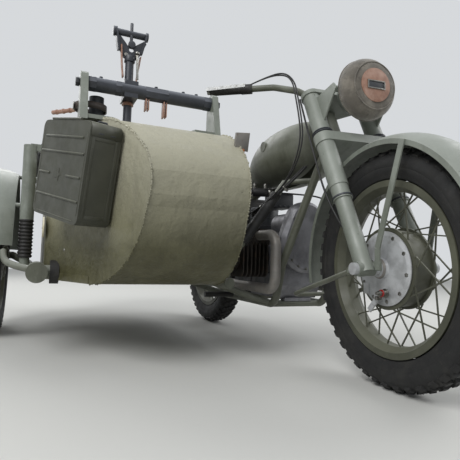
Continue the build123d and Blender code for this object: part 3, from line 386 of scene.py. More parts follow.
# Cream enamel of the marker disc
CREAM_ENAMEL = enamel("cream_enamel", "#c9c1a4", "#d8d2ba", "#8f876c", "#ddd8c4", 0.2, (0.35, 0.5),
                      slot="body_paint")
# Red moulded lens
RED_LENS = Finish("red_lens", "#8c1512", (), (Relief(Pattern.CELLS, 4, 0.3, 0.6),), (0.15, 0.25), coat=0.5,
                  slot="black_rubber")
# Black insulation on wires and cable sleeves
CABLE_SLEEVE = Finish("black_cable_sleeve", "#1b1b1b", (
    Layer("#34322e", Pattern.CLOUD, 20, 0.5, 0.7, 0.6),), (
    Relief(Pattern.SPOTS, 2, 0.1, 0.5),), (0.5, 0.7), slot="black_rubber")
# Grey studio paper
PAPER = Finish("studio_paper", "#cfcfcb", (), (Relief(Pattern.SPOTS, 6, 0.1, 0.2),), (0.85, 0.95))

NODE_FINISH = {
    BODY_ENAMEL: "sidecar_body body_inner boot_lid",
    OLIVE_ENAMEL: ("frame_spine frame_cradle rear_frame swing_arm fuel_tank rear_fender centre_stand "
                   "sidecar_frame sidecar_struts wheel_arm spare_carrier handlebar front_stand"),
    FENDER_ENAMEL: ("fork_leg_left fork_leg_right fork_yokes headlamp front_fender sidecar_fender "
                    "sidecar_shock uprights"),
    BOX_ENAMEL: "equipment_box equipment_box_lid",
    DARK_ENAMEL: "lid_hinge_leaves flask rear_shocks",
    BEAM_ENAMEL: "crossbar mount_post cradle",
    WHEEL_ENAMEL: "front_wheel rear_wheel sidecar_wheel spare_wheel",
    CAST_ALLOY: "engine gearbox carburettors final_drive",
    HUB_ALLOY: "front_brake",
    CAST_IRON: "cylinders",
    PIPE_STEEL: "exhausts saddle_springs",
    WORN_CHROME: "hand_levers",
    TYRE_RUBBER: "front_tyre rear_tyre sidecar_tyre spare_tyre",
    MOULDED_RUBBER: "grips footrests body_grommets saddles",
    DARK_LEATHER: "sidecar_seat sidecar_backrest",
    COTTON_DUCK: "headlamp_cover",
    ASH_HANDLE: "hatchet",
}


def dress(piece: bpy.types.Object, finish: Finish) -> None:
    """Gives every slot of a piece one finish.

    Args:
        piece: The piece or CAD node.
        finish: Its finish.
    """
    material = finish.material()
    if not piece.material_slots:
        piece.data.materials.append(material)
    for slot in piece.material_slots:
        slot.material = material


def new_object(name: str, data: bpy.types.ID) -> bpy.types.Object:
    """Makes an object of its data and puts it into the scene.

    Args:
        name: The object's name.
        data: Its mesh, curve, camera or light.

    Returns:
        The object.
    """
    made = bpy.data.objects.new(name, data)
    bpy.context.scene.collection.objects.link(made)
    return made


def add_piece(name: str, mesh: bmesh.types.BMesh, finish: Finish, body: str = "chassis",
              place: Matrix | None = None, smooth: bool = True) -> bpy.types.Object:
    """Turns a bmesh into a dressed piece that rides on a body.

    Args:
        name: The piece's name.
        mesh: Its shape; it is freed.
        finish: Its finish.
        body: The CAD body that it moves with.
        place: Takes the shape to the row frame, or None for one that is drawn there.
        smooth: Whether faces that meet under the sharp angle shade as one.

    Returns:
        The new object.
    """
    if place is not None:
        bmesh.ops.transform(mesh, matrix=place, verts=mesh.verts)
    bmesh.ops.recalc_face_normals(mesh, faces=mesh.faces)
    data = bpy.data.meshes.new(name)
    mesh.to_mesh(data)
    mesh.free()
    piece = new_object(name, data)
    if smooth:
        data.shade_smooth()
        data.set_sharp_from_angle(angle=SHARP_ANGLE)
    dress(piece, finish)
    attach(piece, body)
    LOG.info("piece %s on %s, %d faces", name, body, len(data.polygons))
    return piece


def thicken(piece: bpy.types.Object, name: str, thickness: float) -> None:
    """Gives a sheet its wall, inwards from its faces, in metres.

    Args:
        piece: The sheet.
        name: The modifier's name.
        thickness: The wall in metres.
    """
    wall = piece.modifiers.new(name, "SOLIDIFY")
    wall.thickness = thickness
    wall.offset = -1


def add_rounding(piece: bpy.types.Object) -> None:
    """Rounds a soft piece by one level of subdivision.

    Args:
        piece: The piece.
    """
    rounding = piece.modifiers.new("round", "SUBSURF")
    rounding.levels = 1
    rounding.render_levels = 1


def round_edges(mesh: bmesh.types.BMesh, edges: Iterable[bmesh.types.BMEdge], width: float,
                segments: int = 2) -> None:
    """Rounds edges by a width in metres."""
    bmesh.ops.bevel(mesh, geom=list(edges), offset=width, offset_type="OFFSET", segments=segments,
                    profile=0.5, affect="EDGES", material=-1)


def raise_faces(mesh: bmesh.types.BMesh, faces: Iterable[bmesh.types.BMFace],
                move: tuple[float, float, float]) -> list[bmesh.types.BMVert]:
    """Extrudes faces by a move in metres and gives the vertices that it made.

    Args:
        mesh: The bmesh that holds them.
        faces: The faces.
        move: How far, along each axis.

    Returns:
        The vertices of the moved faces.
    """
    out = bmesh.ops.extrude_face_region(mesh, geom=list(faces))
    tops = [v for v in out["geom"] if isinstance(v, bmesh.types.BMVert)]
    bmesh.ops.translate(mesh, vec=move, verts=tops)
    return tops


def spin_round(mesh: bmesh.types.BMesh, geom: list, axis: tuple[int, int, int], steps: int) -> None:
    """Turns an outline once round an axis through the origin and closes it."""
    bmesh.ops.spin(mesh, geom=geom, cent=(0, 0, 0), axis=axis, angle=math.tau, steps=steps, use_merge=True,
                   use_duplicate=False)


def aimed(start: Vector, end: Vector) -> Matrix:
    """Gives the placing whose Z runs from start to end, centred between them."""
    turn = (end - start).to_track_quat("Z", "Y").to_matrix().to_4x4()
    return Matrix.Translation((start + end) / 2) @ turn


def add_rod(mesh: bmesh.types.BMesh, start: Vector, end: Vector, radius: float,
            radius_end: float | None = None, sides: int = 20, bevel: float = 0.0) -> None:
    """Adds a closed round or many-sided rod to a bmesh.

    Args:
        mesh: The bmesh to add to.
        start: Middle of its first end, in the row frame.
        end: Middle of its other end.
        radius: Its radius in metres.
        radius_end: Radius at its other end, where that differs.
        sides: How many sides it has.
        bevel: Width of the rounding of its ends.
    """
    made = bmesh.ops.create_cone(mesh, cap_ends=True, segments=sides, radius1=radius,
                                 radius2=radius if radius_end is None else radius_end,
                                 depth=(end - start).length, matrix=aimed(start, end))
    if bevel:
        ends = {e for v in made["verts"] for e in v.link_edges
                if len(e.link_faces) == 2 and any(len(f.verts) == sides for f in e.link_faces)}
        round_edges(mesh, ends, bevel)


def add_block(mesh: bmesh.types.BMesh, size: tuple[float, float, float], place: Matrix,
              bevel: float = 0.0015) -> None:
    """Adds a bevelled block to a bmesh.

    Args:
        mesh: The bmesh to add to.
        size: Its length along each axis of its placing, in metres.
        place: Where its centre goes, and its turn.
        bevel: Width of its edge rounding.
    """
    made = bmesh.ops.create_cube(mesh, size=1.0, matrix=place @ Matrix.Diagonal((*size, 1.0)))
    if bevel:
        edges = {e for v in made["verts"] for e in v.link_edges}
        round_edges(mesh, edges, bevel)


def add_hex_bolts(mesh: bmesh.types.BMesh, centre: Vector, axis: Vector, radius: float, count: int,
                  head: float, height: float) -> None:
    """Adds a ring of hexagon heads on washers round a centre, facing along an axis.

    Args:
        mesh: The bmesh to add to.
        centre: Middle of the ring, on the face that the washers lie on.
        axis: Direction that the heads face.
        radius: The ring's radius in metres.
        count: How many heads.
        head: A head's width over its corners in metres.
        height: Height of a head's top over the face in metres.
    """
    across = axis.orthogonal().normalized()
    for index in range(count):
        spoke = Matrix.Rotation(math.tau * (index + 0.5) / count, 3, axis) @ across * radius
        foot = centre + spoke
        add_rod(mesh, foot, foot + axis * 0.0015, head * 0.78, sides=16)
        add_rod(mesh, foot + axis * 0.0015, foot + axis * height, head / 2, sides=6, bevel=0.0006)


def add_tube(name: str, points: list[Vector], radius: float, finish: Finish,
             body: str | None = "chassis") -> bpy.types.Object:
    """Lays a smooth tube through control points, held at its ends and clips.

    Args:
        name: The piece's name.
        points: Control points in the row frame.
        radius: The tube's radius in metres.
        finish: Its finish.
        body: The CAD body that it moves with, or None for one that bends between two.

    Returns:
        The tube.
    """
    curve = bpy.data.curves.new(name, "CURVE")
    curve.dimensions = "3D"
    curve.bevel_depth = radius
    curve.bevel_resolution = 3
    curve.resolution_u = 8
    curve.use_fill_caps = True
    spline = curve.splines.new("NURBS")
    spline.points.add(len(points) - 1)
    for point, place in zip(spline.points, points):
        point.co = (*place, 1.0)
    spline.order_u = 3
    spline.use_endpoint_u = True
    route = new_object(name + "_route", curve)
    bpy.context.view_layer.update()
    data = bpy.data.meshes.new_from_object(route.evaluated_get(bpy.context.evaluated_depsgraph_get()))
    bpy.data.objects.remove(route)
    piece = new_object(name, data)
    data.shade_smooth()
    dress(piece, finish)
    if body:
        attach(piece, body)
    return piece


@dataclass
class Studio:
    """Camera at the photograph's angle, pale floor and soft lamps."""

    # the camera's place in the drawing's millimetres, and its angles in degrees
    place: tuple[float, float, float] = (2430.6, -967.2, 357.7)
    yaw: float = 23.627
    pitch: float = 3.71
    roll: float = 1.755
    lens_mm: float = 34.93
    floor_half: float = 9.0
    # what the lamps point at, in row metres
    aim: tuple[float, float, float] = (0, 0, 0.4)

    def add_camera(self) -> None:
        """Places the camera."""
        yaw, pitch, roll = (math.radians(a) for a in (self.yaw, self.pitch, self.roll))
        ahead = Vector((-math.cos(yaw) * math.cos(pitch), math.sin(yaw) * math.cos(pitch), math.sin(pitch)))
        right = ahead.cross(Vector((0, 0, 1))).normalized()
        up = right.cross(ahead)
        across = math.cos(roll) * right + math.sin(roll) * up
        upward = -math.sin(roll) * right + math.cos(roll) * up
        data = bpy.data.cameras.new("view")
        data.sensor_width = 36.0
        data.lens = self.lens_mm
        camera = new_object("view", data)
        turn = Matrix((across, upward, -ahead)).transposed().to_4x4()
        camera.matrix_world = Matrix.Translation(mm(*self.place)) @ turn
        bpy.context.scene.camera = camera

    def add_floor(self) -> None:
        """Lays the pale floor."""
        mesh = bmesh.new()
        bmesh.ops.create_grid(mesh, x_segments=1, y_segments=1, size=self.floor_half)
        data = bpy.data.meshes.new("studio_floor")
        mesh.to_mesh(data)
        mesh.free()
        floor = new_object("studio_floor", data)
        dress(floor, PAPER)

    def add_lamps(self) -> None:
        """Hangs three soft lamps and sets the world's pale grey."""
        lamps = (("key", (3.2, -3.4, 4.2), 3.2, 215.0), ("fill", (1.0, 4.2, 3.4), 3.6, 95.0),
                 ("back", (-4.0, -1.0, 3.8), 3.2, 90.0))
        for name, place, size, power in lamps:
            data = bpy.data.lights.new(name, "AREA")
            data.size = size
            data.energy = power
            lamp = new_object(name, data)
            at = Vector(place)
            turn = (Vector(self.aim) - at).to_track_quat("-Z", "Y").to_matrix().to_4x4()
            lamp.matrix_world = Matrix.Translation(at) @ turn
        world = bpy.data.worlds.new("studio")
        world.use_nodes = True
        tree = world.node_tree
        tree.nodes.clear()
        path = add_node(tree, "ShaderNodeLightPath")
        seen = add_node(tree, "ShaderNodeMath", {"operation": "MAXIMUM"}, {
            0: path.outputs["Is Camera Ray"], 1: path.outputs["Is Glossy Ray"]})
        strength = add_node(tree, "ShaderNodeMapRange", {}, {
            "Value": seen.outputs[0], "To Min": 0.55, "To Max": 0.85})
        light = add_node(tree, "ShaderNodeBackground", {}, {
            "Color": linear("#e6e9ec"), "Strength": strength.outputs[0]})
        output = add_node(tree, "ShaderNodeOutputWorld")
        tree.links.new(light.outputs[0], output.inputs[0])
        bpy.context.scene.world = world
        bpy.context.scene.view_settings.view_transform = "Standard"

    def build(self) -> None:
        """Makes the whole studio."""
        self.add_camera()
        self.add_floor()
        self.add_lamps()


@dataclass
class TreadedTyre:
    """A 3.75-19 tyre with shoulder lugs, staggered mid lugs and slanted centre lugs."""

    lugs: int = 46
    # each row's place across, reach from the axle, and lug length, width and height
    shoulder: tuple[float, float, tuple[float, float, float]] = (0.0365, 0.3350, (0.025, 0.019, 0.011))
    mid: tuple[float, float, tuple[float, float, float]] = (0.0215, 0.3428, (0.023, 0.015, 0.009))
    centre: tuple[float, float, tuple[float, float, float]] = (0.0, 0.3445, (0.026, 0.016, 0.009))
    # half section of the carcass: (across, radius)
    section: tuple[tuple[float, float], ...] = (
        (0.0, 0.3370), (0.018, 0.3362), (0.031, 0.3330), (0.041, 0.3265), (0.0455, 0.3170), (0.0478, 0.3040),
        (0.0482, 0.2920), (0.0470, 0.2900), (0.0472, 0.2885), (0.0455, 0.2790), (0.0415, 0.2700),
        (0.0405, 0.2680), (0.0392, 0.2640), (0.0370, 0.2590))

    def carcass(self, mesh: bmesh.types.BMesh) -> None:
        """Spins the section into a closed tyre about the Y axis.

        Args:
            mesh: The bmesh to add to.
        """
        outline = [(-a, r) for a, r in reversed(self.section[1:])] + list(self.section)
        outline += [(0.030, 0.2550), (-0.030, 0.2550)]
        verts = [mesh.verts.new((0.0, a, r)) for a, r in outline]
        edges = [mesh.edges.new((verts[i], verts[(i + 1) % len(verts)])) for i in range(len(verts))]
        spin_round(mesh, verts + edges, (0, 1, 0), 96)

    def add_lug(self, mesh: bmesh.types.BMesh, angle: float, side: int,
                row: tuple[float, float, tuple[float, float, float]], skew: float) -> None:
        """Adds one tapered lug.

        Args:
            mesh: The bmesh to add to.
            angle: Its place round the tyre.
            side: -1 or 1 for the side of the tyre, 0 for its middle.
            row: Place across, reach, and lug size of its row.
            skew: Its slant.
        """
        across, radius, (length, width, height) = row
        across *= side
        tilt = math.radians(-38) * across / 0.04 if abs(across) > 0.03 else 0.0
        place = (Matrix.Rotation(angle, 4, "Y") @ Matrix.Translation((0, across, radius - height / 2))
                 @ Matrix.Rotation(tilt, 4, "X") @ Matrix.Rotation(skew, 4, "Z"))
        made = bmesh.ops.create_cube(mesh, size=1.0, matrix=Matrix.Diagonal((length, width, height, 1)))
        for vert in made["verts"]:
            if vert.co.z > 0:
                vert.co.x *= 0.82
                vert.co.y *= 0.86
        bmesh.ops.transform(mesh, matrix=place, verts=made["verts"])

    def build(self, name: str, place: Matrix, body: str, node: str, angle: float) -> bpy.types.Object:
        """Makes the tyre in place of its CAD node.

        Args:
            name: The piece's name.
            place: Takes the drawn tyre, whose axle is Y, to its wheel.
            body: The CAD body that it turns with.
            node: The CAD node that it stands for.
            angle: Turn of the tread pattern.

        Returns:
            The tyre.
        """
        mesh = bmesh.new()
        self.carcass(mesh)
        step = math.tau / self.lugs
        for index in range(self.lugs):
            turn = angle + index * step
            for side in (-1, 1):
                half = 0.0 if side < 0 else step / 2
                self.add_lug(mesh, turn + half, side, self.shoulder, 0.0)
                self.add_lug(mesh, turn + half + step * 0.3, side, self.mid, side * 0.35)
            self.add_lug(mesh, turn + step * 0.1, 0, self.centre, 0.5)
        piece = add_piece(name, mesh, TYRE_RUBBER, body, place)
        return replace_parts(piece, node)


@dataclass
class Wheels:
    """Treaded tyres, hub bolts and valves of the four wheels."""

    lead: float = 130.0
    track: float = 1130.0
    wheelbase: float = 1435.0
    axle_height: float = 345.0
    # the hub's half width and its bolts' circle, in metres
    hub_half: float = 0.0405
    bolt_circle: float = 0.094
    # the boot lid's fall over its length, and its middle, in the drawing's millimetres
    lid_slope: tuple[float, float] = (307, 660)
    lid_middle: tuple[float, float, float] = (-270, -670, 751.5)
    # the spare wheel's centre, down and off the lid, and its tyre's size beside a tyre on the road
    spare_down: float = 0.012
    spare_off: float = 0.118
    spare_scale: float = 0.982

    def places(self) -> dict[str, tuple[Matrix, str]]:
        """Gives each wheel's placing and body.

        Returns:
            By wheel, the placing of its hub's centre and its CAD body.
        """
        straight = {
            "front": (FORK_TURN @ Matrix.Translation(mm(self.wheelbase, 0, self.axle_height)), "wheel_front"),
            "rear": (Matrix.Translation(mm(0, 0, self.axle_height)), "wheel_rear"),
            "sidecar": (Matrix.Translation(mm(self.lead, -self.track, self.axle_height)), "wheel_sidecar"),
        }
        slope = math.atan2(*self.lid_slope)
        along = Vector((math.cos(slope), 0, math.sin(slope)))
        normal = Vector((-math.sin(slope), 0, math.cos(slope)))
        turn = Matrix((along, normal, Vector((0, -1, 0)))).transposed().to_4x4()
        centre = mm(*self.lid_middle) - along * self.spare_down + normal * self.spare_off
        straight["spare"] = (Matrix.Translation(centre) @ turn, "boot")
        return straight

    def build(self) -> None:
        """Makes the tyres and the small wheel parts."""
        tyre = TreadedTyre()
        for index, (name, (place, body)) in enumerate(self.places().items()):
            scale = self.spare_scale if name == "spare" else 1.0
            tyre_place = place @ Matrix.Diagonal((scale, 1, scale, 1))
            tyre.build(name + "_treaded_tyre", tyre_place, body, name + "_tyre", 0.05 * index)
            mesh = bmesh.new()
            for side in (-1, 1):
                axis = Vector((0, side, 0))
                add_hex_bolts(mesh, axis * self.hub_half, axis, self.bolt_circle, 10, 0.012, 0.006)
            add_rod(mesh, Vector((0.02, 0.0, 0.252)), Vector((0.02, 0.012, 0.222)), 0.004, sides=10)
            add_piece(name + "_hub_bolts", mesh, PLATED_STEEL, body, place)


@dataclass
class Upholstery:
    """Sidecar seat and backrest in leathercloth, each puffed by a short cloth simulation."""

    # how much smaller a cushion is cut, and how far a point of it may then move
    inset_mm: float = 6
    reach_mm: float = 18
    voxel: float = 0.009
    pressure: float = 4.0
    frames: int = 16
    # how tight the filling is, for the record
    fill: float = 0.7
    channel_mm: float = 100
    channel_depth: float = 0.006

    def cut_out(self, node: str, name: str) -> bpy.types.Object:
        """Copies a CAD solid, a little smaller and with an even mesh.

        Args:
            node: The CAD node.
            name: The new piece's name.

        Returns:
            The new piece, still undressed.
        """
        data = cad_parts[node].data.copy()
        data.name = name
        piece = new_object(name, data)
        mesh = bmesh.new()
        mesh.from_mesh(data)
        bmesh.ops.remove_doubles(mesh, verts=mesh.verts, dist=1e-5)
        mesh.normal_update()
        for vert in mesh.verts:
            vert.co -= vert.normal * self.inset_mm / 1000
        mesh.to_mesh(data)
        mesh.free()
        data.materials.clear()
        bpy.context.view_layer.objects.active = piece
        piece.select_set(True)
        remesh = piece.modifiers.new("even", "REMESH")
        remesh.mode = "VOXEL"
        remesh.voxel_size = self.voxel
        bpy.ops.object.modifier_apply(modifier="even")
        return piece

    def puff(self, piece: bpy.types.Object) -> None:
        """Fills a cushion with pressure for a few frames and applies the result.

        Args:
            piece: The cushion.
        """
        cloth = piece.modifiers.new("puff", "CLOTH")
        cloth.settings.use_pressure = True
        cloth.settings.uniform_pressure_force = self.pressure
        cloth.settings.effector_weights.gravity = 0.0
        cloth.point_cache.frame_start = 1
        cloth.point_cache.frame_end = self.frames
        for step in range(1, self.frames + 1):
            bpy.context.scene.frame_set(step)
        bpy.ops.object.modifier_apply(modifier="puff")
        bpy.context.scene.frame_set(1)

    def sew(self, piece: bpy.types.Object, rest: list[Vector], low: Vector, high: Vector) -> None:
        """Holds a puffed cushion to its reach and its box, and draws in the sewn channels.

        Args:
            piece: The cushion.
            rest: Where its points were before it was puffed.
            low: Lowest corner of its CAD node.
            high: Highest corner of its CAD node.
        """
        mesh = bmesh.new()
        mesh.from_mesh(piece.data)
        mesh.normal_update()
        for vert in mesh.verts:
            move = vert.co - rest[vert.index]
            if move.length > self.reach_mm / 1000:
                vert.co = rest[vert.index] + move.normalized() * self.reach_mm / 1000
            phase = math.cos(math.tau * (vert.co.y - low.y) * 1000 / self.channel_mm)
            vert.co -= vert.normal * self.channel_depth * max(0.0, phase) ** 6
            for axis in range(3):
                vert.co[axis] = min(max(vert.co[axis], low[axis]), high[axis])
        bmesh.ops.smooth_vert(mesh, verts=mesh.verts, factor=0.4, use_axis_x=True, use_axis_y=True,
                              use_axis_z=True)
        mesh.to_mesh(piece.data)
        mesh.free()

    def add_cushion(self, node: str, name: str) -> None:
        """Makes one cushion in place of its CAD node.

        Args:
            node: The CAD node.
            name: The new piece's name.
        """
        piece = self.cut_out(node, name)
        rest = [v.co.copy() for v in piece.data.vertices]
        self.puff(piece)
        self.sew(piece, rest, *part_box(node))
        add_rounding(piece)
        piece.data.shade_smooth()
        dress(piece, DARK_LEATHER)
        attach(piece, "chassis")
        piece.select_set(False)
        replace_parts(piece, node)

    def build(self) -> None:
        """Makes both cushions."""
        self.add_cushion("sidecar_seat", "seat_cushion")
        self.add_cushion("sidecar_backrest", "back_cushion")


@dataclass
class LampCover:
    """Gathered canvas cover over the headlamp, with a leather patch round its slot."""

    # forward of the rim, radius
    outline: tuple[tuple[float, float], ...] = (
        (0.0330, 0.0), (0.0335, 0.030), (0.0330, 0.058), (0.0300, 0.074), (0.0215, 0.0855), (0.0080, 0.0950),
        (-0.0040, 0.0990), (-0.0150, 0.1000), (-0.0225, 0.0985), (-0.0255, 0.0955))
    # from the middle of the cover's box back to the rim
    rim_back: float = 0.004

    def frame_place(self) -> Matrix:
        """Gives the placing whose X is the lamp's axis and whose origin is the rim's centre.

        Returns:
            The placing in the row frame.
        """
        low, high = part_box("headlamp_cover")
        straight = FORK_TURN.inverted() @ ((low + high) / 2)
        return FORK_TURN @ Matrix.Translation((straight.x - self.rim_back, DATUM.y, straight.z))

    def add_canvas(self, place: Matrix) -> None:
        """Makes the cover, round at the front and pleated towards its hem.

        Args:
            place: The lamp's placing in the row frame.
        """
        mesh = bmesh.new()
        verts = [mesh.verts.new((x, 0.0, r)) for x, r in self.outline]
        edges = [mesh.edges.new(pair) for pair in zip(verts, verts[1:])]
        spin_round(mesh, verts + edges, (1, 0, 0), 72)
        bmesh.ops.remove_doubles(mesh, verts=mesh.verts, dist=1e-6)
        for vert in mesh.verts:
            radius = math.hypot(vert.co.y, vert.co.z)
            turn = math.atan2(vert.co.z, vert.co.y)
            pleat = math.sin(19 * turn) + 0.6 * math.sin(31 * turn + 1.0)
            near_hem = min(1.0, max(0.0, (radius - 0.06) / 0.04))
            vert.co.x += 0.0010 * near_hem * pleat + 0.0012 * math.sin(3 * turn + 40 * radius)
            scale = 1 - 0.006 * near_hem * (1 + pleat)
            vert.co.y *= scale
            vert.co.z *= scale
        cover = add_piece("lamp_canvas_cover", mesh, COTTON_DUCK, "fork", place)
        cover.data.shade_smooth()
        thicken(cover, "cloth", 0.0014)
        add_rounding(cover)
        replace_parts(cover, "headlamp_cover")

    def add_trim(self, place: Matrix) -> None:
        """Makes piping, patch and slot.

        Args:
            place: The lamp's placing in the row frame.
        """
        for name, radius, forward, thick in (("front", 0.0755, 0.0300, 0.0019),
                                             ("hem", 0.0985, -0.0225, 0.0022)):
            mesh = bmesh.new()
            ring = Matrix.Translation((forward, radius, 0))
            bmesh.ops.create_circle(mesh, segments=10, radius=thick, matrix=ring)
            geom = list(mesh.verts) + list(mesh.edges)
            spin_round(mesh, geom, (1, 0, 0), 72)
            add_piece(f"lamp_cover_{name}_piping", mesh, COTTON_DUCK, "fork", place)
        mesh = bmesh.new()
        add_rod(mesh, Vector((0.0320, 0, 0)), Vector((0.0356, 0, 0)), 0.054, sides=48, bevel=0.001)
        add_piece("lamp_cover_leather_patch", mesh, PATCH_LEATHER, "fork", place)
        mesh = bmesh.new()
        for y, z, wide, high in ((0, 0.0115, 0.066, 0.004), (0, -0.0115, 0.066, 0.004),
                                 (0.031, 0, 0.004, 0.021), (-0.031, 0, 0.004, 0.021)):
            add_block(mesh, (0.0035, wide, high), Matrix.Translation((0.0372, y, z)), 0.0008)
        add_piece("lamp_slot_bezel", mesh, PLATED_STEEL, "fork", place)
        mesh = bmesh.new()
        add_block(mesh, (0.0010, 0.058, 0.019), Matrix.Translation((0.0362, 0, 0)), 0.0002)
        add_piece("lamp_slot_shutter", mesh, DARK_ENAMEL, "fork", place)

    def build(self) -> None:
        """Makes the cover with all that is sewn to it."""
        place = self.frame_place()
        self.add_canvas(place)
        self.add_trim(place)


def box_place() -> Matrix:
    """Gives the equipment box's placing: X along it to the rear, Y down it, Z out of its face.

    Returns:
        The placing, from the box's top front corner on the body's side.
    """
    back = Vector((-1, -TAPER, 0)) / TAPER_LENGTH
    tilt = math.radians(11.5)
    along = back * math.cos(tilt) + Vector((0, 0, math.sin(tilt)))
    outward = TAPER_OUT / TAPER_LENGTH
    down = outward.cross(along)
    front_x, top_z, gap = 1095, 736, 10
    origin = mm(front_x, NOSE_OUTER_Y - (NOSE_X - front_x) * TAPER - gap * TAPER_LENGTH, top_z)
    return Matrix.Translation(origin) @ Matrix((along, down, outward)).transposed().to_4x4()


@dataclass
class BoxTrim:
    """Pressed ribs, star, side frames and skirted cover of the equipment box."""

    length: float = 0.312
    depth: float = 0.105
    # first and last place along the box, depth below its top
    ribs: tuple[tuple[float, float, float], ...] = (
        (0.030, 0.282, 0.050), (0.014, 0.298, 0.098), (0.020, 0.106, 0.168), (0.222, 0.298, 0.168),
        (0.014, 0.298, 0.238))

    def add_ribs(self, place: Matrix) -> None:
        """Adds the face's ribs, its star and the border bead.

        Args:
            place: The box's placing in the row frame.
        """
        mesh = bmesh.new()
        for start, end, down in self.ribs:
            out = self.depth - 0.0005
            add_rod(mesh, Vector((start, down, out)), Vector((end, down, out)), 0.0044, sides=14,
                    bevel=0.0015)
        inset = 0.010
        for start, end in (((inset, 0.032, 0), (inset, 0.277, 0)), ((0.302, 0.032, 0), (0.302, 0.277, 0)),
                           ((0.032, 0.295, 0), (0.280, 0.295, 0))):
            lift = Vector((0, 0, self.depth - 0.0008))
            add_rod(mesh, Vector(start) + lift, Vector(end) + lift, 0.0022, sides=10, bevel=0.0007)
        add_piece("box_face_ribs", mesh, BOX_ENAMEL, place=place)
        mesh = bmesh.new()
        made = bmesh.ops.create_circle(mesh, cap_ends=True, segments=10, radius=0.021)
        for index, vert in enumerate(made["verts"]):
            if index % 2:
                vert.co *= 0.40
        raise_faces(mesh, mesh.faces, (0, 0, 0.0014))
        spot = Matrix.Translation((0.164, 0.168, self.depth - 0.0002)) @ Matrix.Rotation(math.pi / 10, 4, "Z")
        add_piece("box_pressed_star", mesh, BOX_ENAMEL, smooth=False, place=place @ spot)

    def add_sides(self, place: Matrix) -> None:
        """Adds the raised frames and spot welds of the two narrow sides.

        Args:
            place: The box's placing in the row frame.
        """
        mesh = bmesh.new()
        for face_at, sign in ((0.0, -1), (self.length, 1)):
            for out, down, wide, high in ((0.014, 0.162, 0.010, 0.240), (0.091, 0.162, 0.010, 0.240),
                                          (0.0525, 0.047, 0.067, 0.010), (0.0525, 0.277, 0.067, 0.010)):
                spot = Matrix.Translation((face_at + sign * 0.0006, down, out))
                add_block(mesh, (0.0016, high, wide), place @ spot, 0.0006)
            for down in (0.075, 0.120, 0.165, 0.210, 0.255):
                spot = Vector((face_at + sign * 0.0012, down, 0.091))
                tip = spot + Vector((sign * 0.0008, 0, 0))
                add_rod(mesh, place @ spot, place @ tip, 0.0022, 0.001, sides=10)
        add_piece("box_side_frames", mesh, BOX_ENAMEL)

    def add_cover(self, place: Matrix) -> None:
        """Adds the cover's skirt, its slots and its latch.

        Args:
            place: The box's placing in the row frame.
        """
        mesh = bmesh.new()
        size = (self.length + 0.004, 0.120, 0.1005)
        middle = Matrix.Translation((self.length / 2, 0.058, 0.0500))
        bmesh.ops.create_cube(mesh, size=1.0, matrix=middle @ Matrix.Diagonal((*size, 1)))
        corners = [e for e in mesh.edges if abs((e.verts[0].co - e.verts[1].co).z) > 0.05]
        round_edges(mesh, corners, 0.0255, 6)
        geom = list(mesh.verts) + list(mesh.edges) + list(mesh.faces)
        bmesh.ops.bisect_plane(mesh, geom=geom, plane_co=(0, 0.041, 0), plane_no=(0, 1, 0), clear_outer=True)
        ends = [f for f in mesh.faces if abs(f.normal.z) > 0.9 or f.normal.y > 0.9]
        bmesh.ops.delete(mesh, geom=ends, context="FACES")
        skirt = add_piece("box_cover_skirt", mesh, BOX_ENAMEL, place=place)
        thicken(skirt, "sheet", 0.0016)
        mesh = bmesh.new()
        for out in (0.032, 0.070):
            spot = Matrix.Translation((-0.0022, 0.031, out))
            add_block(mesh, (0.0008, 0.0035, 0.016), place @ spot, 0.0003)
        add_block(mesh, (0.052, 0.002, 0.034), place @ Matrix.Translation((0.060, -0.0035, 0.050)), 0.0008)
        add_rod(mesh, place @ Vector((0.036, -0.006, 0.036)), place @ Vector((0.036, -0.006, 0.064)), 0.003)
        add_piece("box_latch", mesh, DARK_ENAMEL)

    def build(self) -> None:
        """Dresses the whole box."""
        place = box_place()
        self.add_ribs(place)
        self.add_sides(place)
        self.add_cover(place)


def arc_through(first: tuple[float, float], middle: tuple[float, float], last: tuple[float, float],
                count: int) -> list[tuple[float, float]]:
    """Gives points on the arc through three points of the side profile, in millimetres.

    Args:
        first: Where the arc starts, forward and up.
        middle: A point that it passes.
        last: Where it ends.
        count: How many steps it is cut into.

    Returns:
        The points, one more than the steps.
    """
    (ax, az), (bx, bz), (cx, cz) = first, middle, last
    d = 2 * (ax * (bz - cz) + bx * (cz - az) + cx * (az - bz))
    a2, b2, c2 = ax * ax + az * az, bx * bx + bz * bz, cx * cx + cz * cz
    ux = (a2 * (bz - cz) + b2 * (cz - az) + c2 * (az - bz)) / d
    uz = (a2 * (cx - bx) + b2 * (ax - cx) + c2 * (bx - ax)) / d
    radius = math.hypot(ax - ux, az - uz)
    start = math.atan2(az - uz, ax - ux)
    sweep = math.atan2(cz - uz, cx - ux) - start
    sweep = (sweep + math.pi) % math.tau - math.pi
    turns = [start + sweep * i / count for i in range(count + 1)]
    return [(ux + radius * math.cos(t), uz + radius * math.sin(t)) for t in turns]


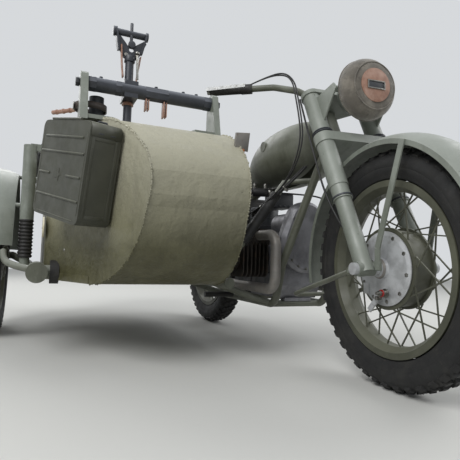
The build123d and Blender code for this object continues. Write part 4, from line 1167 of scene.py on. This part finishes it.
@dataclass
class BodyTrim:
    """Weld beads, sill, screws and the hatchet on the sidecar's body."""

    inner_y: float = -370.0
    # drops of weld for each piece of the nose's line, and how far they stray from it, in metres
    drops: int = 18
    stray: float = 0.0045
    # from the body's inner side to the middle of the hatchet, in the drawing's millimetres
    hatchet_gap: float = 7.3
    # start, middle and end of each arc of the nose, in the side view
    arcs: tuple[tuple[tuple[float, float], ...], ...] = (
        ((930, 263), (1112, 337), (1200, 500)), ((1200, 500), (1210, 612), (1146, 702)),
        ((1146, 702), (1066, 762), (960, 798)))

    def side_y(self, x: float) -> float:
        """Gives the tapered outer side's place across."""
        return max(NOSE_OUTER_Y - (NOSE_X - x) * TAPER, BODY_OUTER_Y)

    def nose_line(self) -> list[tuple[float, float]]:
        """Gives the nose's outline from the floor to the cowl.

        Returns:
            Points of the side view, forward and up, in the drawing's millimetres.
        """
        points: list[tuple[float, float]] = []
        for arc in self.arcs:
            points += arc_through(*arc, 7)[0 if not points else 1:]
        return points

    def add_beads(self) -> None:
        """Lays the knobbly weld bead along both sides of the nose."""
        for name, across in (("outer", self.side_y), ("inner", lambda x: self.inner_y)):
            line = [mm(x, across(x) + (1.0 if name == "outer" else -1.0), z) for x, z in self.nose_line()]
            add_tube(f"nose_{name}_weld_bead", line, 0.0022, BODY_ENAMEL)
            mesh = bmesh.new()
            for start, end in zip(line, line[1:]):
                for step in range(self.drops):
                    spot = start.lerp(end, (step + random.random()) / self.drops)
                    spot += Vector([random.uniform(-self.stray, self.stray), 0.0,
                                    random.uniform(-self.stray, self.stray)])
                    size = random.uniform(0.0014, 0.0038)
                    bmesh.ops.create_icosphere(mesh, subdivisions=1, radius=size,
                                               matrix=Matrix.Translation(spot))
            add_piece(f"nose_{name}_weld_drops", mesh, BODY_ENAMEL)

    def add_sill(self) -> None:
        """Adds the flange and its screws along the body's foot."""
        mesh = bmesh.new()
        start, end = mm(-340, -931, 276), mm(610, -931, 276)
        add_block(mesh, ((end - start).length, 0.003, 0.026), Matrix.Translation((start + end) / 2), 0.001)
        start, end = mm(625, -926.5, 276), mm(925, -801.5, 276)
        turn = Matrix.Rotation(math.atan2(TAPER, 1), 4, "Z")
        middle = Matrix.Translation((start + end) / 2)
        add_block(mesh, ((end - start).length, 0.003, 0.026), middle @ turn, 0.001)
        for x in range(-300, 620, 115):
            foot = mm(x, -932, 276)
            add_rod(mesh, foot, foot + Vector((0, -0.0022, 0)), 0.005, 0.0035, sides=12)
        add_piece("body_sill_flange", mesh, BODY_ENAMEL)
        mesh = bmesh.new()
        for x, z in ((760, 372), (930, 470), (1010, 640), (-120, 400), (-300, 500), (-180, 620)):
            y = self.side_y(x)
            foot = mm(x, y, z)
            out = TAPER_OUT.normalized() if x > 620 else Vector((0, -1, 0))
            add_rod(mesh, foot, foot + out * 0.002, 0.0055, 0.004, sides=14)
            foot = mm(x, self.inner_y, z)
            add_rod(mesh, foot, foot + Vector((0, 0.002, 0)), 0.0055, 0.004, sides=14)
        add_piece("body_screws", mesh, PLATED_STEEL)

    def add_hatchet(self) -> None:
        """Makes the hatchet: a flat ash handle with rounded edges, and a forged head."""
        mesh = bmesh.new()
        y = self.inner_y + self.hatchet_gap
        foot, top = mm(1080, y, 560), mm(1120, y, 720)
        place = aimed(foot, top)
        bmesh.ops.create_cube(mesh, size=1.0, matrix=Matrix.Diagonal((0.024, 0.014, (top - foot).length, 1)))
        round_edges(mesh, mesh.edges, 0.005, 3)
        handle = add_piece("hatchet_handle", mesh, ASH_HANDLE, place=place)
        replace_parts(handle, "hatchet")
        mesh = bmesh.new()
        foot, top = mm(1119, y, 716), mm(1131, y, 768)
        made = bmesh.ops.create_cube(mesh, size=1.0, matrix=Matrix.Diagonal((0.050, 0.014, 0.052, 1)))
        for vert in made["verts"]:
            if vert.co.x > 0:
                vert.co.y *= 0.25
                vert.co.z *= 1.2
        round_edges(mesh, mesh.edges, 0.0015)
        add_piece("hatchet_head", mesh, PIPE_STEEL, place=aimed(foot, top))

    def build(self) -> None:
        """Dresses the body."""
        self.add_beads()
        self.add_sill()
        self.add_hatchet()


@dataclass
class ForkTrim:
    """Cables, clip rings, axle nut and brake lever that steer with the fork."""

    # a leg's axis from the steering axis, in metres
    leg_ahead: float = 0.072
    leg_across: float = 0.108

    def add_cables(self) -> None:
        """Lays the control cables from the bars, and the brake cable to the front plate."""
        _, carb_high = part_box("carburettors")
        for side in (-1, 1):
            word = "left" if side > 0 else "right"
            port = (carb_high.y - DATUM.y) * 1000 - 40
            for index, offset in enumerate((0, 9)):
                steered = [(928, side * 246, 1034), (985, side * 200, 1052),
                           (1050, side * 160, 1052 - offset),
                           (1104, side * (146 + offset), 1000), (1132, side * (149 + offset), 930),
                           (1156, side * (149 + offset), 850), (1168, side * (150 + offset), 780)]
                fixed = [(1128, side * (150 + offset), 700), (1050, side * (152 + offset), 630 - offset),
                         (960, side * (206 + offset), 552 - offset), (850, side * (236 + offset), 512)]
                points = [FORK_TURN @ mm(*p) for p in steered] + [mm(*p) for p in fixed]
                points.append(Vector((mm(728, 0, 0).x, mm(0, side * port, 0).y, carb_high.z)))
                cable = add_tube(f"{word}_control_cable_{index + 1}", points, 0.0028, CABLE_SLEEVE, None)
                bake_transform(cable)
        brake = [(1130, -140, 925), (1175, -144, 830), (1235, -146, 700), (1300, -146, 560),
                 (1370, -120, 440), (1400, -72, 380), (1425, -60, 352)]
        add_tube("front_brake_cable", [FORK_TURN @ mm(*p) for p in brake], 0.0032, CABLE_SLEEVE, "fork")

    def add_rings(self) -> None:
        """Adds the clip rings on the fork legs."""
        mesh = bmesh.new()
        ahead = Vector((math.cos(RAKE), 0, math.sin(RAKE)))
        for side in (-1, 1):
            base = mm(*STEER_ORIGIN) + ahead * self.leg_ahead + Vector((0, side * self.leg_across, 0))
            for t, radius in ((0.4795, 0.0345), (0.486, 0.0345), (0.232, 0.0325), (0.2345, 0.0325)):
                foot = base + STEER_AXIS * t
                add_rod(mesh, foot, foot + STEER_AXIS * 0.003, radius, sides=36, bevel=0.0008)
        add_piece("fork_clip_rings", mesh, DARK_ENAMEL, "fork", FORK_TURN)

    def add_hub_face(self) -> None:
        """Adds the axle nut, the brake's cam lever and the cam's red seal."""
        mesh = bmesh.new()
        centre = mm(1435, -58, 345)
        out = Vector((0, -1, 0))
        add_rod(mesh, mm(1435, -60, 345), mm(1435, -92, 345), 0.013, 0.011, sides=6, bevel=0.001)
        add_rod(mesh, centre, centre + out * 0.006, 0.030, 0.026, sides=32, bevel=0.001)
        add_piece("front_axle_nut", mesh, PIPE_STEEL, "fork", FORK_TURN)
        mesh = bmesh.new()
        for low, high, radius in ((-58, -64, 0.013), (-64, -72, 0.010), (-76, -84, 0.008), (-84, -92, 0.005)):
            add_rod(mesh, mm(1463, low, 277), mm(1463, high, 277), radius, sides=24, bevel=0.0008)
        add_rod(mesh, mm(1461, -66, 275), mm(1443, -68, 262), 0.0045, 0.0035, sides=12, bevel=0.0008)
        add_rod(mesh, mm(1443, -60, 262), mm(1443, -78, 262), 0.006, sides=16, bevel=0.0008)
        add_piece("front_brake_cam_lever", mesh, PLATED_STEEL, "fork", FORK_TURN)
        mesh = bmesh.new()
        add_rod(mesh, mm(1463, -72, 277), mm(1463, -76, 277), 0.0108, sides=24, bevel=0.0008)
        add_piece("front_brake_cam_seal", mesh, RED_LENS, "fork", FORK_TURN)

    def build(self) -> None:
        """Dresses the fork."""
        self.add_cables()
        self.add_rings()
        self.add_hub_face()


@dataclass
class EngineTrim:
    """Bolts, coil, regulator, wires, plugs, pedals, filter and battery round the power unit."""

    def add_bolts(self) -> None:
        """Adds the front cover's bolts."""
        mesh = bmesh.new()
        face = mm(976, 0, 424)
        for index in range(10):
            turn = math.radians(200 + 14 * index * 1.55)
            foot = face + Vector((-0.002, 0.096 * math.cos(turn), 0.096 * math.sin(turn)))
            add_rod(mesh, foot, foot + Vector((0.006, 0, 0)), 0.0055, sides=6, bevel=0.0006)
        for z in (452, 520):
            add_rod(mesh, mm(974, -58, z), mm(981, -58, z), 0.006, sides=6, bevel=0.0006)
            add_rod(mesh, mm(974, 58, z), mm(981, 58, z), 0.006, sides=6, bevel=0.0006)
        add_piece("front_cover_bolts", mesh, PLATED_STEEL)

    def add_ignition(self) -> None:
        """Adds the coil with its cap, and the voltage regulator."""
        mesh = bmesh.new()
        add_rod(mesh, mm(790, -152, 636), mm(810, -92, 636), 0.0175, sides=28, bevel=0.002)
        add_rod(mesh, mm(786, -164, 636), mm(790, -152, 636), 0.009, sides=20, bevel=0.001)
        add_piece("ignition_coil", mesh, CABLE_SLEEVE)
        mesh = bmesh.new()
        add_rod(mesh, mm(810, -92, 636), mm(815, -77, 636), 0.0182, sides=28, bevel=0.002)
        add_rod(mesh, mm(815, -77, 636), mm(818, -68, 636), 0.005, sides=12, bevel=0.0008)
        for along in (0.12, 0.82):
            foot = mm(790, -152, 636).lerp(mm(810, -92, 636), along)
            add_block(mesh, (0.014, 0.006, 0.044), Matrix.Translation(foot + Vector((0, 0, 0.014))), 0.001)
        add_piece("coil_cap_and_clips", mesh, PLATED_STEEL)
        mesh = bmesh.new()
        add_block(mesh, (0.096, 0.092, 0.062), Matrix.Translation(mm(742, 0, 612)), 0.006)
        for y in (-24, 0, 24):
            add_rod(mesh, mm(790, y, 588), mm(797, y, 588), 0.004, sides=10, bevel=0.0006)
        add_piece("voltage_regulator", mesh, DARK_ENAMEL)

    def add_harness(self) -> None:
        """Adds the harness with its clips, and the cloth wound round the front strut."""
        for index in range(5):
            spread = [random.uniform(-9, 9) for _ in range(3)]
            route = ((1104, -98, 690), (1062, -128, 640), (1000, -176, 580), (946, -214, 530),
                     (900, -205, 520), (842, -96, 560))
            points = [mm(x + spread[0], y + spread[1], z + spread[2]) for x, y, z in route]
            add_tube(f"harness_wire_{index + 1}", points, 0.0026, CABLE_SLEEVE)
        mesh = bmesh.new()
        for x, y, z in ((1040, -144, 618), (968, -200, 550)):
            ahead = Vector((-0.72, -0.45, -0.56)).normalized() * 0.003
            add_rod(mesh, mm(x, y, z) - ahead, mm(x, y, z) + ahead, 0.0125, sides=18, bevel=0.0008)
        add_piece("harness_clips", mesh, PLATED_STEEL)
        mesh = bmesh.new()
        top, foot = mm(992, -118, 650), mm(978, -336, 345)
        for index in range(12):
            start, end = (top.lerp(foot, 0.16 + 0.05 * (index + step)) for step in (0, 1))
            add_rod(mesh, start, end, 0.0205 - 0.0012 * (index % 2), 0.0185, sides=24)
        add_piece("strut_cloth_wrap", mesh, CABLE_SLEEVE)

    def add_plugs(self) -> None:
        """Adds the spark plugs and their leads."""
        mesh = bmesh.new()
        for side in (-1, 1):
            add_rod(mesh, mm(872, side * 318, 432), mm(888, side * 332, 462), 0.009, 0.007, sides=16,
                    bevel=0.001)
            add_rod(mesh, mm(866, side * 312, 422), mm(872, side * 318, 432), 0.0105, sides=6)
        add_piece("spark_plugs", mesh, PLATED_STEEL)
        for side, word in ((-1, "right"), (1, "left")):
            points = [mm(888, side * 332, 462), mm(896, side * 328, 500), mm(880, side * 250, 556),
                      mm(845, side * 190, 610), mm(815, side * 165, 640),
                      mm(790, 60 if side > 0 else -176, 646), mm(790 if side > 0 else 786, -152, 640)]
            add_tube(f"{word}_plug_lead", points, 0.0035, CABLE_SLEEVE)

    def add_pedals(self) -> None:
        """Adds the kick-starter, the gear pedal and the brake pedal."""
        mesh = bmesh.new()
        add_rod(mesh, mm(590, 88, 330), mm(590, 122, 330), 0.014, sides=20, bevel=0.001)
        add_rod(mesh, mm(590, 116, 330), mm(430, 140, 440), 0.008, 0.007, sides=14, bevel=0.001)
        add_rod(mesh, mm(640, 88, 290), mm(640, 132, 290), 0.010, sides=18, bevel=0.001)
        add_rod(mesh, mm(640, 128, 290), mm(735, 132, 262), 0.006, sides=12, bevel=0.001)
        add_rod(mesh, mm(600, -88, 250), mm(600, -136, 250), 0.010, sides=18, bevel=0.001)
        add_rod(mesh, mm(600, -132, 250), mm(735, -136, 226), 0.0065, sides=12, bevel=0.001)
        add_piece("pedal_arms", mesh, PIPE_STEEL)
        mesh = bmesh.new()
        for start, end in ((mm(430, 126, 440), mm(430, 200, 440)), (mm(735, 120, 262), mm(735, 178, 262)),
                           (mm(735, -125, 226), mm(735, -182, 226))):
            add_rod(mesh, start, end, 0.011, sides=20, bevel=0.002)
        add_piece("pedal_rubbers", mesh, MOULDED_RUBBER)

    def add_filter(self) -> None:
        """Adds the air filter's drum with its two hoses, and the battery."""
        mesh = bmesh.new()
        add_rod(mesh, mm(610, 0, 441), mm(610, 0, 492), 0.058, sides=40, bevel=0.002)
        add_rod(mesh, mm(610, 0, 492), mm(610, 0, 596), 0.064, sides=40, bevel=0.005)
        for z in (510, 546, 582):
            add_rod(mesh, mm(610, 0, z), mm(610, 0, z + 4), 0.0655, sides=40, bevel=0.001)
        add_piece("air_filter_drum", mesh, DARK_ENAMEL)
        low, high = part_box("carburettors")
        port = (high.y - DATUM.y) * 1000 - 40
        level = (low.z + high.z) * 500 - 14
        for side, word in ((-1, "right"), (1, "left")):
            points = [mm(690, side * port, level), mm(655, side * port, level + 6),
                      mm(625, side * port * 0.8, 500), mm(612, side * 58, 505)]
            add_tube(f"{word}_intake_hose", points, 0.016, MOULDED_RUBBER)
        mesh = bmesh.new()
        add_block(mesh, (0.130, 0.150, 0.150), Matrix.Translation(mm(455, 0, 560)), 0.006)
        add_block(mesh, (0.126, 0.154, 0.018), Matrix.Translation(mm(455, 0, 640)), 0.004)
        for y in (-45, 0, 45):
            add_rod(mesh, mm(455, y, 648), mm(455, y, 656), 0.010, sides=20, bevel=0.001)
        add_piece("battery", mesh, MOULDED_RUBBER)

    def build(self) -> None:
        """Dresses the power unit."""
        self.add_bolts()
        self.add_ignition()
        self.add_harness()
        self.add_plugs()
        self.add_pedals()
        self.add_filter()


@dataclass
class StandTrim:
    """Sleeves, bolts and straps of the stand over the cowl."""

    bar_x: float = 900.0
    bar_z: float = 929.0
    post_y: float = -690.0

    def build(self) -> None:
        """Dresses the stand."""
        mesh = bmesh.new()
        for low, high, radius in ((-832, -806, 0.0262), (-742, -722, 0.0262), (-640, -560, 0.0258),
                                  (-424, -397, 0.0262)):
            add_rod(mesh, mm(self.bar_x, low, self.bar_z), mm(self.bar_x, high, self.bar_z), radius, sides=8,
                    bevel=0.001)
        for y in (-790, -600, -500, -450):
            foot = mm(self.bar_x, y, self.bar_z + 20)
            add_rod(mesh, foot, mm(self.bar_x, y, self.bar_z + 29), 0.006, sides=6)
        add_piece("bar_sleeves", mesh, BEAM_ENAMEL)
        mesh = bmesh.new()
        for side, y in ((-1, -857), (1, -374)):
            out = Vector((0, side, 0))
            hub = mm(self.bar_x, y + side * 2, self.bar_z)
            add_rod(mesh, hub, hub + out * 0.012, 0.016, sides=6, bevel=0.001)
        add_piece("stand_fittings", mesh, DARK_ENAMEL)
        mesh = bmesh.new()
        for y, high in ((-636, 0.040), (-572, 0.056)):
            hang = Matrix.Translation(mm(self.bar_x, y, 906 - high * 500))
            add_block(mesh, (0.030, 0.005, high), hang, 0.0015)
            add_block(mesh, (0.026, 0.004, high * 0.94), hang @ Matrix.Translation((0, 0.009, 0)), 0.0015)
        add_rod(mesh, mm(855, self.post_y, 888), mm(855, self.post_y, 899), 0.0205, 0.0185, sides=32,
                bevel=0.002)
        add_piece("beam_leather_hangers", mesh, PATCH_LEATHER)
        mesh = bmesh.new()
        centre = mm(858, -815, 858)
        bmesh.ops.create_cone(mesh, cap_ends=False, segments=48, radius1=0.047, radius2=0.047, depth=0.022,
                              matrix=Matrix.Translation(centre) @ Matrix.Diagonal((1.0, 1.15, 1, 1)))
        strap = add_piece("flask_strap", mesh, DARK_LEATHER)
        thicken(strap, "leather", 0.0022)
        mesh = bmesh.new()
        add_block(mesh, (0.026, 0.003, 0.024), Matrix.Translation(mm(862, -871, 858)), 0.001)
        add_piece("flask_strap_buckle", mesh, PLATED_STEEL)


@dataclass
class StandHead:
    """Swivelling head of the stand: a pierced plate between two cheeks, its shaft, pin and straps."""

    base: tuple[float, float, float] = (855.0, -690.0, 1046.3)
    plate_thickness: float = 0.009
    cheek_thickness: float = 0.007
    hole_radius: float = 0.0085
    # across, up
    plate: tuple[tuple[float, float], ...] = (
        (-22, 14), (26, 14), (40, 40), (57, 78), (50, 88), (12, 60), (-8, 58), (-40, 96), (-50, 92),
        (-38, 40))
    # forward, up
    cheek: tuple[tuple[float, float], ...] = (
        (-13, 40), (12, 36), (17, 78), (18, 100), (12, 118), (-10, 120), (-18, 104), (-17, 78))

    def spot(self, along: float, across: float, up: float) -> Vector:
        """Turns a place on the head, in millimetres, into the row frame."""
        x, y, z = self.base
        return mm(x + along, y + across, z + up)

    def add_plate(self, mesh: bmesh.types.BMesh) -> None:
        """Adds the plate with its hole.

        Args:
            mesh: The bmesh to add to.
        """
        part = bmesh.new()
        rim = [part.verts.new((0.0, across / 1000, up / 1000)) for across, up in self.plate]
        for start, end in zip(rim, rim[1:] + rim[:1]):
            part.edges.new((start, end))
        turned = Matrix.Translation((0, 0.004, 0.046)) @ Matrix.Rotation(math.pi / 2, 4, "Y")
        bmesh.ops.create_circle(part, segments=20, radius=self.hole_radius, matrix=turned)
        bmesh.ops.triangle_fill(part, use_beauty=True, edges=list(part.edges))
        raise_faces(part, part.faces, (self.plate_thickness, 0, 0))
        bmesh.ops.transform(part, matrix=Matrix.Translation(self.spot(-4, 0, 0)), verts=part.verts)
        data = bpy.data.meshes.new("plate_part")
        part.to_mesh(data)
        part.free()
        mesh.from_mesh(data)
        bpy.data.meshes.remove(data)

    def add_cheek(self, mesh: bmesh.types.BMesh, across: float, lean: float) -> None:
        """Adds one cheek, a rounded plate that leans outwards.

        Args:
            mesh: The bmesh to add to.
            across: Its place across the head in millimetres.
            lean: Its lean in degrees.
        """
        verts = [mesh.verts.new((along / 1000, 0.0, (up - 40) / 1000)) for along, up in self.cheek]
        tops = raise_faces(mesh, [mesh.faces.new(verts)], (0, self.cheek_thickness, 0))
        place = Matrix.Translation(self.spot(0, across, 40)) @ Matrix.Rotation(math.radians(lean), 4, "X")
        bmesh.ops.transform(mesh, matrix=place, verts=verts + tops)

    def build(self) -> None:
        """Makes the head in place of its CAD node."""
        mesh = bmesh.new()
        self.add_plate(mesh)
        self.add_cheek(mesh, -44, 9)
        self.add_cheek(mesh, 37, -13)
        add_rod(mesh, self.spot(0, 0, 0), self.spot(0, 0, 22), 0.019, sides=36, bevel=0.0015)
        add_rod(mesh, self.spot(2, -50, 104), self.spot(2, 52, 104), 0.0115, sides=28, bevel=0.001)
        for low, high in ((-62, -53), (53, 62)):
            add_rod(mesh, self.spot(2, low, 104), self.spot(2, high, 104), 0.0165, sides=28, bevel=0.0015)
        add_rod(mesh, self.spot(6, 2, 62), self.spot(6, 2, 142), 0.0058, sides=16, bevel=0.0008)
        add_rod(mesh, self.spot(-2, 4, 64), self.spot(13, 4, 64), 0.013, sides=28, bevel=0.001)
        head = add_piece("stand_head", mesh, BEAM_ENAMEL, "cradle_head")
        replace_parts(head, "cradle")
        mesh = bmesh.new()
        for across, up in ((-14, 24), (24, 28)):
            add_rod(mesh, self.spot(4, across, up), self.spot(10, across, up), 0.0075, sides=6, bevel=0.0008)
        add_rod(mesh, self.spot(24, 26, -66), self.spot(22, 22, 26), 0.0042, sides=14, bevel=0.0008)
        add_rod(mesh, self.spot(22, 22, 26), self.spot(22, 22, 33), 0.0085, sides=20, bevel=0.001)
        add_piece("stand_head_bolts", mesh, PLATED_STEEL, "cradle_head")
        for name, across, top, foot in (("near", 33, 22, -74), ("far", -36, 54, -60)):
            mesh = bmesh.new()
            steps = 9
            verts = []
            for index in range(steps + 1):
                share = index / steps
                sway = 5 * math.sin(4.4 * share + across)
                along = self.spot(-2 + sway, across * (1 - 0.32 * share), top + (foot - top) * share)
                verts.append(mesh.verts.new(along))
            line = [mesh.edges.new(pair) for pair in zip(verts, verts[1:])]
            out = bmesh.ops.extrude_edge_only(mesh, edges=line)
            sides = [v for v in out["geom"] if isinstance(v, bmesh.types.BMVert)]
            bmesh.ops.translate(mesh, vec=(0.017, 0.002, 0), verts=sides)
            strip = add_piece(f"head_{name}_leather_strip", mesh, PATCH_LEATHER, "cradle_head")
            thicken(strip, "leather", 0.0026)


@dataclass
class ChairRunningGear:
    """Fender's tube, shock absorber's gaiter and the rolled strap on the sidecar's outer side."""

    shock: tuple[float, float] = (474.0, -1000.0)

    def build(self) -> None:
        """Dresses the sidecar's outer side."""
        points = [mm(800, -955, 300), mm(740, -1000, 306), mm(640, -1050, 318), mm(545, -1072, 336),
                  mm(512, -1074, 362)]
        add_tube("fender_outrigger_tube", points, 0.0125, OLIVE_ENAMEL)
        mesh = bmesh.new()
        x, y = self.shock
        for index in range(11):
            z = 338 + index * 14
            add_rod(mesh, mm(x + 1, y, z), mm(x + 1, y, z + 7), 0.0235, 0.0285, sides=32)
            add_rod(mesh, mm(x + 1, y, z + 7), mm(x + 1, y, z + 14), 0.0285, 0.0235, sides=32)
        bmesh.ops.remove_doubles(mesh, verts=mesh.verts, dist=1e-5)
        add_piece("sidecar_shock_gaiter", mesh, MOULDED_RUBBER)
        mesh = bmesh.new()
        add_rod(mesh, mm(556, -928, 914), mm(640, -852, 912), 0.0085, 0.0075, sides=20, bevel=0.002)
        for share in (0.2, 0.5, 0.8):
            spot = mm(556, -928, 914).lerp(mm(640, -852, 912), share)
            ahead = (mm(640, -852, 912) - mm(556, -928, 914)).normalized() * 0.004
            add_rod(mesh, spot - ahead, spot + ahead, 0.0098, sides=20, bevel=0.001)
        add_piece("cowl_rolled_strap", mesh, PATCH_LEATHER)


@dataclass
class Lamps:
    """Tail lamp and marker disc."""

    def build(self) -> None:
        """Makes both."""
        low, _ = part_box("rear_fender")
        rear = Vector((low.x + 0.012, DATUM.y, mm(0, 0, 470).z))
        mesh = bmesh.new()
        back = Vector((-0.96, 0, 0.28)).normalized()
        add_rod(mesh, rear - back * 0.004, rear + back * 0.006, 0.040, sides=36, bevel=0.002)
        add_piece("tail_lamp_body", mesh, OLIVE_ENAMEL)
        mesh = bmesh.new()
        add_rod(mesh, rear + back * 0.004, rear + back * 0.011, 0.032, 0.026, sides=36, bevel=0.003)
        add_piece("tail_lamp_lens", mesh, RED_LENS)
        mesh = bmesh.new()
        spot = mm(620, -936, 455)
        add_rod(mesh, spot, spot + Vector((0, -0.006, 0)), 0.040, 0.038, sides=40, bevel=0.002)
        add_piece("marker_disc", mesh, CREAM_ENAMEL)


def dress_nodes() -> None:
    """Gives each CAD node its finish."""
    for finish, names in NODE_FINISH.items():
        for name in names.split():
            dress(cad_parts[name], finish)


def main() -> None:
    """Builds every sub-assembly and reports each piece."""
    logging.basicConfig(level=logging.INFO, format="%(name)s: %(message)s")
    random.seed(1957)
    Studio().build()
    dress_nodes()
    Wheels().build()
    Upholstery().build()
    for sub_assembly in (LampCover(), BoxTrim(), BodyTrim(), ForkTrim(), EngineTrim(), StandTrim(),
                         StandHead(), ChairRunningGear(), Lamps()):
        sub_assembly.build()


if __name__ == "__main__":
    main()
